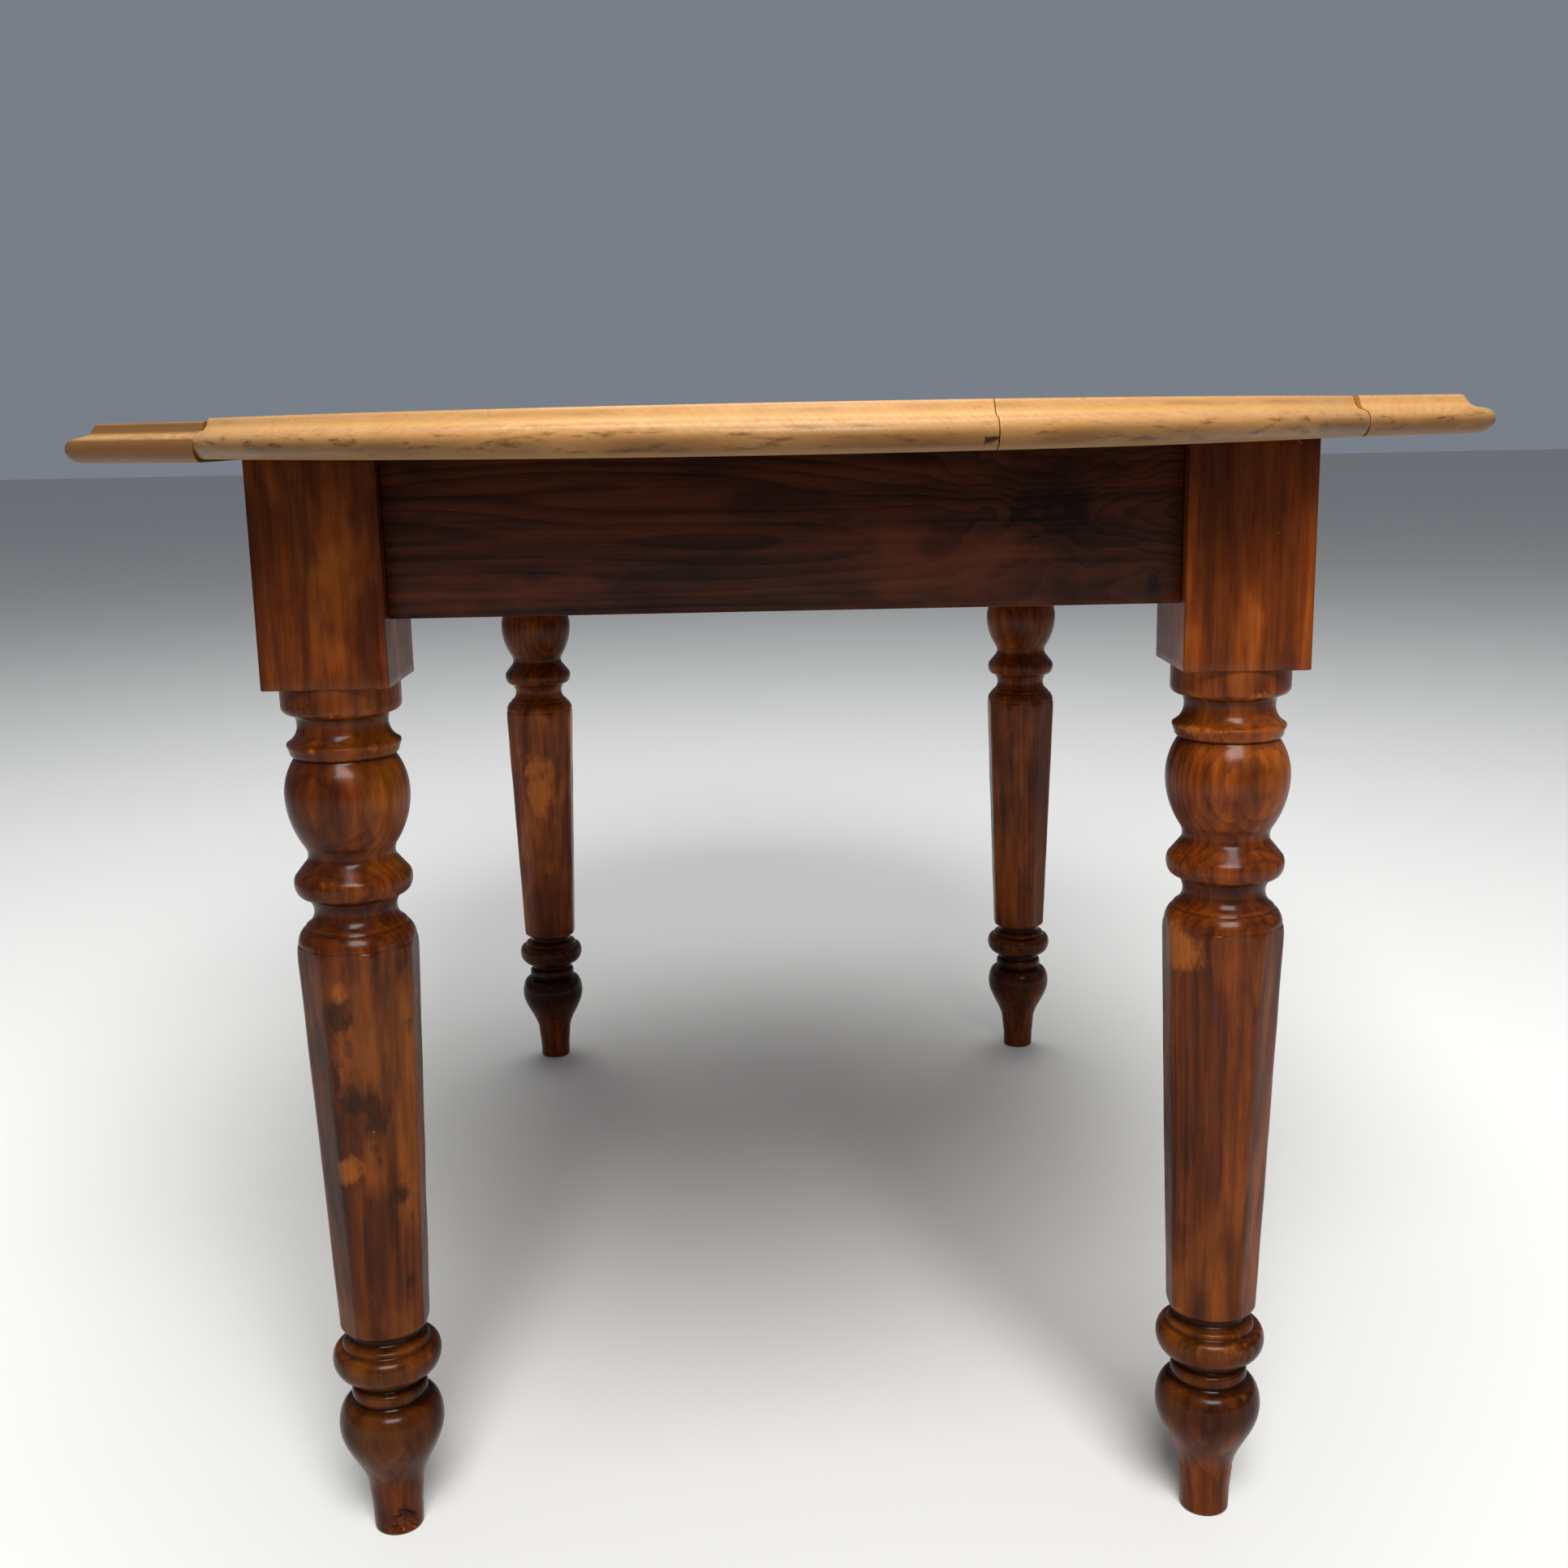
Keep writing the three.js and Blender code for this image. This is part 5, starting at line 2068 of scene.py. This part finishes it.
@dataclass
class Studio:
    """The floor, the lights and the camera: angles in degrees, the lens in millimetres."""

    camera_at: Point = (-0.0091, -1.5323, 0.7343)
    yaw: float = 0.34
    pitch: float = 11.69
    roll: float = -1.13
    lens: float = 40.14
    floor_colour: Point = (0.74, 0.72, 0.67)
    floor_half: float = 30.0
    sky: Point = (0.56, 0.62, 0.72)
    sky_strength: float = 0.34
    lamps: tuple[Lamp, ...] = (
        Lamp("front_sky", (0.3, -3.0, 3.3), (0, -0.2, 0.4), 2.0, 255.0),
        Lamp("over_sky", (0.0, 1.2, 4.0), (0, 0.2, 0.5), 3.0, 110.0),
    )

    def camera(self) -> None:
        """Places the camera: turned right by yaw, tipped down by pitch, then rolled."""
        yaw, pitch, roll = (math.radians(a) for a in (self.yaw, self.pitch, self.roll))
        ahead = Vector((math.sin(yaw) * math.cos(pitch), math.cos(yaw) * math.cos(pitch), -math.sin(pitch)))
        right = Vector((math.cos(yaw), -math.sin(yaw), 0))
        above = right.cross(ahead)
        rolled = right * math.cos(roll) + above * math.sin(roll)
        upward = above * math.cos(roll) - right * math.sin(roll)
        turn = Matrix((rolled, upward, -ahead)).transposed().to_4x4()
        data = bpy.data.cameras.new("camera")
        data.sensor_width = 36.0
        data.lens = self.lens
        data.clip_start = 0.01
        thing = new_object("camera", data)
        thing.matrix_world = Matrix.Translation(self.camera_at) @ turn
        bpy.context.scene.camera = thing

    def build(self) -> None:
        """Makes the floor, the sky and the lights."""
        bm = bmesh.new()
        bmesh.ops.create_grid(bm, x_segments=1, y_segments=1, size=self.floor_half)
        floor = new_object("floor", to_mesh(bm))
        sheet = Sheet("floor_paint")
        mottled = sheet.noise(sheet.place(), 3.0, 3.0)
        tint = sheet.span(mottled, 0.3, 0.7, 0.97, 1.0)
        pale = sheet.blend(tint, (0.5, 0.5, 0.5), self.floor_colour)
        sheet.put(sheet.shader.inputs["Base Color"], pale)
        sheet.shader.inputs["Roughness"].default_value = 0.9
        floor.data.materials.append(sheet.material)
        world = bpy.data.worlds.new("sky")
        world.use_nodes = True
        background = world.node_tree.nodes["Background"].inputs
        background["Color"].default_value = (*self.sky, 1.0)
        background["Strength"].default_value = self.sky_strength
        bpy.context.scene.world = world
        for lamp in self.lamps:
            lamp.light()
        bpy.context.scene.view_settings.view_transform = "Standard"
        self.camera()


# ------------------------------------------------------------------------------ assembly


def main() -> None:
    """Builds every sub-assembly in order."""
    logging.basicConfig(level=logging.INFO, format="%(name)s: %(message)s", stream=sys.stdout)
    Studio().build()
    legs = [
        Leg("leg_front_left", (0.02, 0.01, 0.0), 1.0, 0.6, chip=Chip(),
            worn=(Patch(264, 392, 15, 12), Patch(258, 272, 26, 14)),
            stained=(Patch(263, 338, 22, 32), Patch(262, 377, 16, 14), Patch(311, 249, 15, 8),
                     Patch(230, 240, 24, 24), Patch(290, 300, 12, 40), Patch(297, 13, 36, 11)),
            knots=(Knot((-0.294, -0.488, 0.574), 0.012, 3.0),)),
        Leg("leg_front_right", (0.31, -0.2, 0.4), 0.1, 0.8, heart=(-0.03, 0.12),
            worn=(Patch(205, 403, 46, 26),)),
        Leg("leg_back_left", (-0.42, 0.35, -0.3), 0.5, 0.8, heart=(0.05, -0.09),
            worn=(Patch(270, 330, 40, 60),), varnish=LegVarnish(shaft_tone=1.4)),
        Leg("leg_back_right", (0.57, 0.5, 0.9), 0.2, 0.5, heart=(-0.06, -0.1),
            varnish=LegVarnish(shaft_tone=0.95)),
    ]
    for leg in legs:
        leg.build()
    figured = (Knot((0.165, -0.4845, 0.678), 0.085, 2.6), Knot((0.225, -0.4845, 0.628), 0.05, 1.8))
    rails = [
        Rail("end_rail_front", Timber(Grain.ALONG_X, (0.0, -0.40, 0.66), (0.0, 0.0, 0.0), figured)),
        Rail("end_rail_back", Timber(Grain.ALONG_X, (0.0, 0.38, 0.64), (0.4, 0.9, 0.2))),
        Rail("side_rail_left", Timber(Grain.ALONG_Y, (-0.20, 0.0, 0.68), (0.7, -0.4, 0.1))),
        Rail("side_rail_right", Timber(Grain.ALONG_Y, (0.21, 0.0, 0.65), (-0.6, 0.3, -0.2))),
    ]
    for rail in rails:
        rail.build()
    FixedTop().build()
    left_wood = Timber(Grain.ALONG_Y, (-0.40, 0.0, 0.58), (0.4, 0.1, -0.9),
                       (Knot((-0.42, -0.16, 0.743), 0.03, 5.0),))
    right_wood = Timber(Grain.ALONG_Y, (0.44, 0.0, 0.62), (-0.7, -0.12, 0.6))
    Leaf(Side.LEFT, 21, left_wood, sag=1.8, dulling=1.5).build()
    Leaf(Side.RIGHT, 22, right_wood).build()
    iron = OldMetal().dress("hinge_iron")
    steel = OldMetal((0.24, 0.22, 0.2), rust_share=0.45, bright=0.3).dress("screw_steel")
    hinges = [Hinge(side, number, y) for side in (Side.RIGHT, Side.LEFT)
              for number, y in enumerate((-360.0, 0.0, 360.0), start=1)]
    for hinge in hinges:
        hinge.build(iron)
    Screws(hinges, ScrewSetter(steel)).build()
    BarePieces(iron).build()


if __name__ == "__main__":
    main()
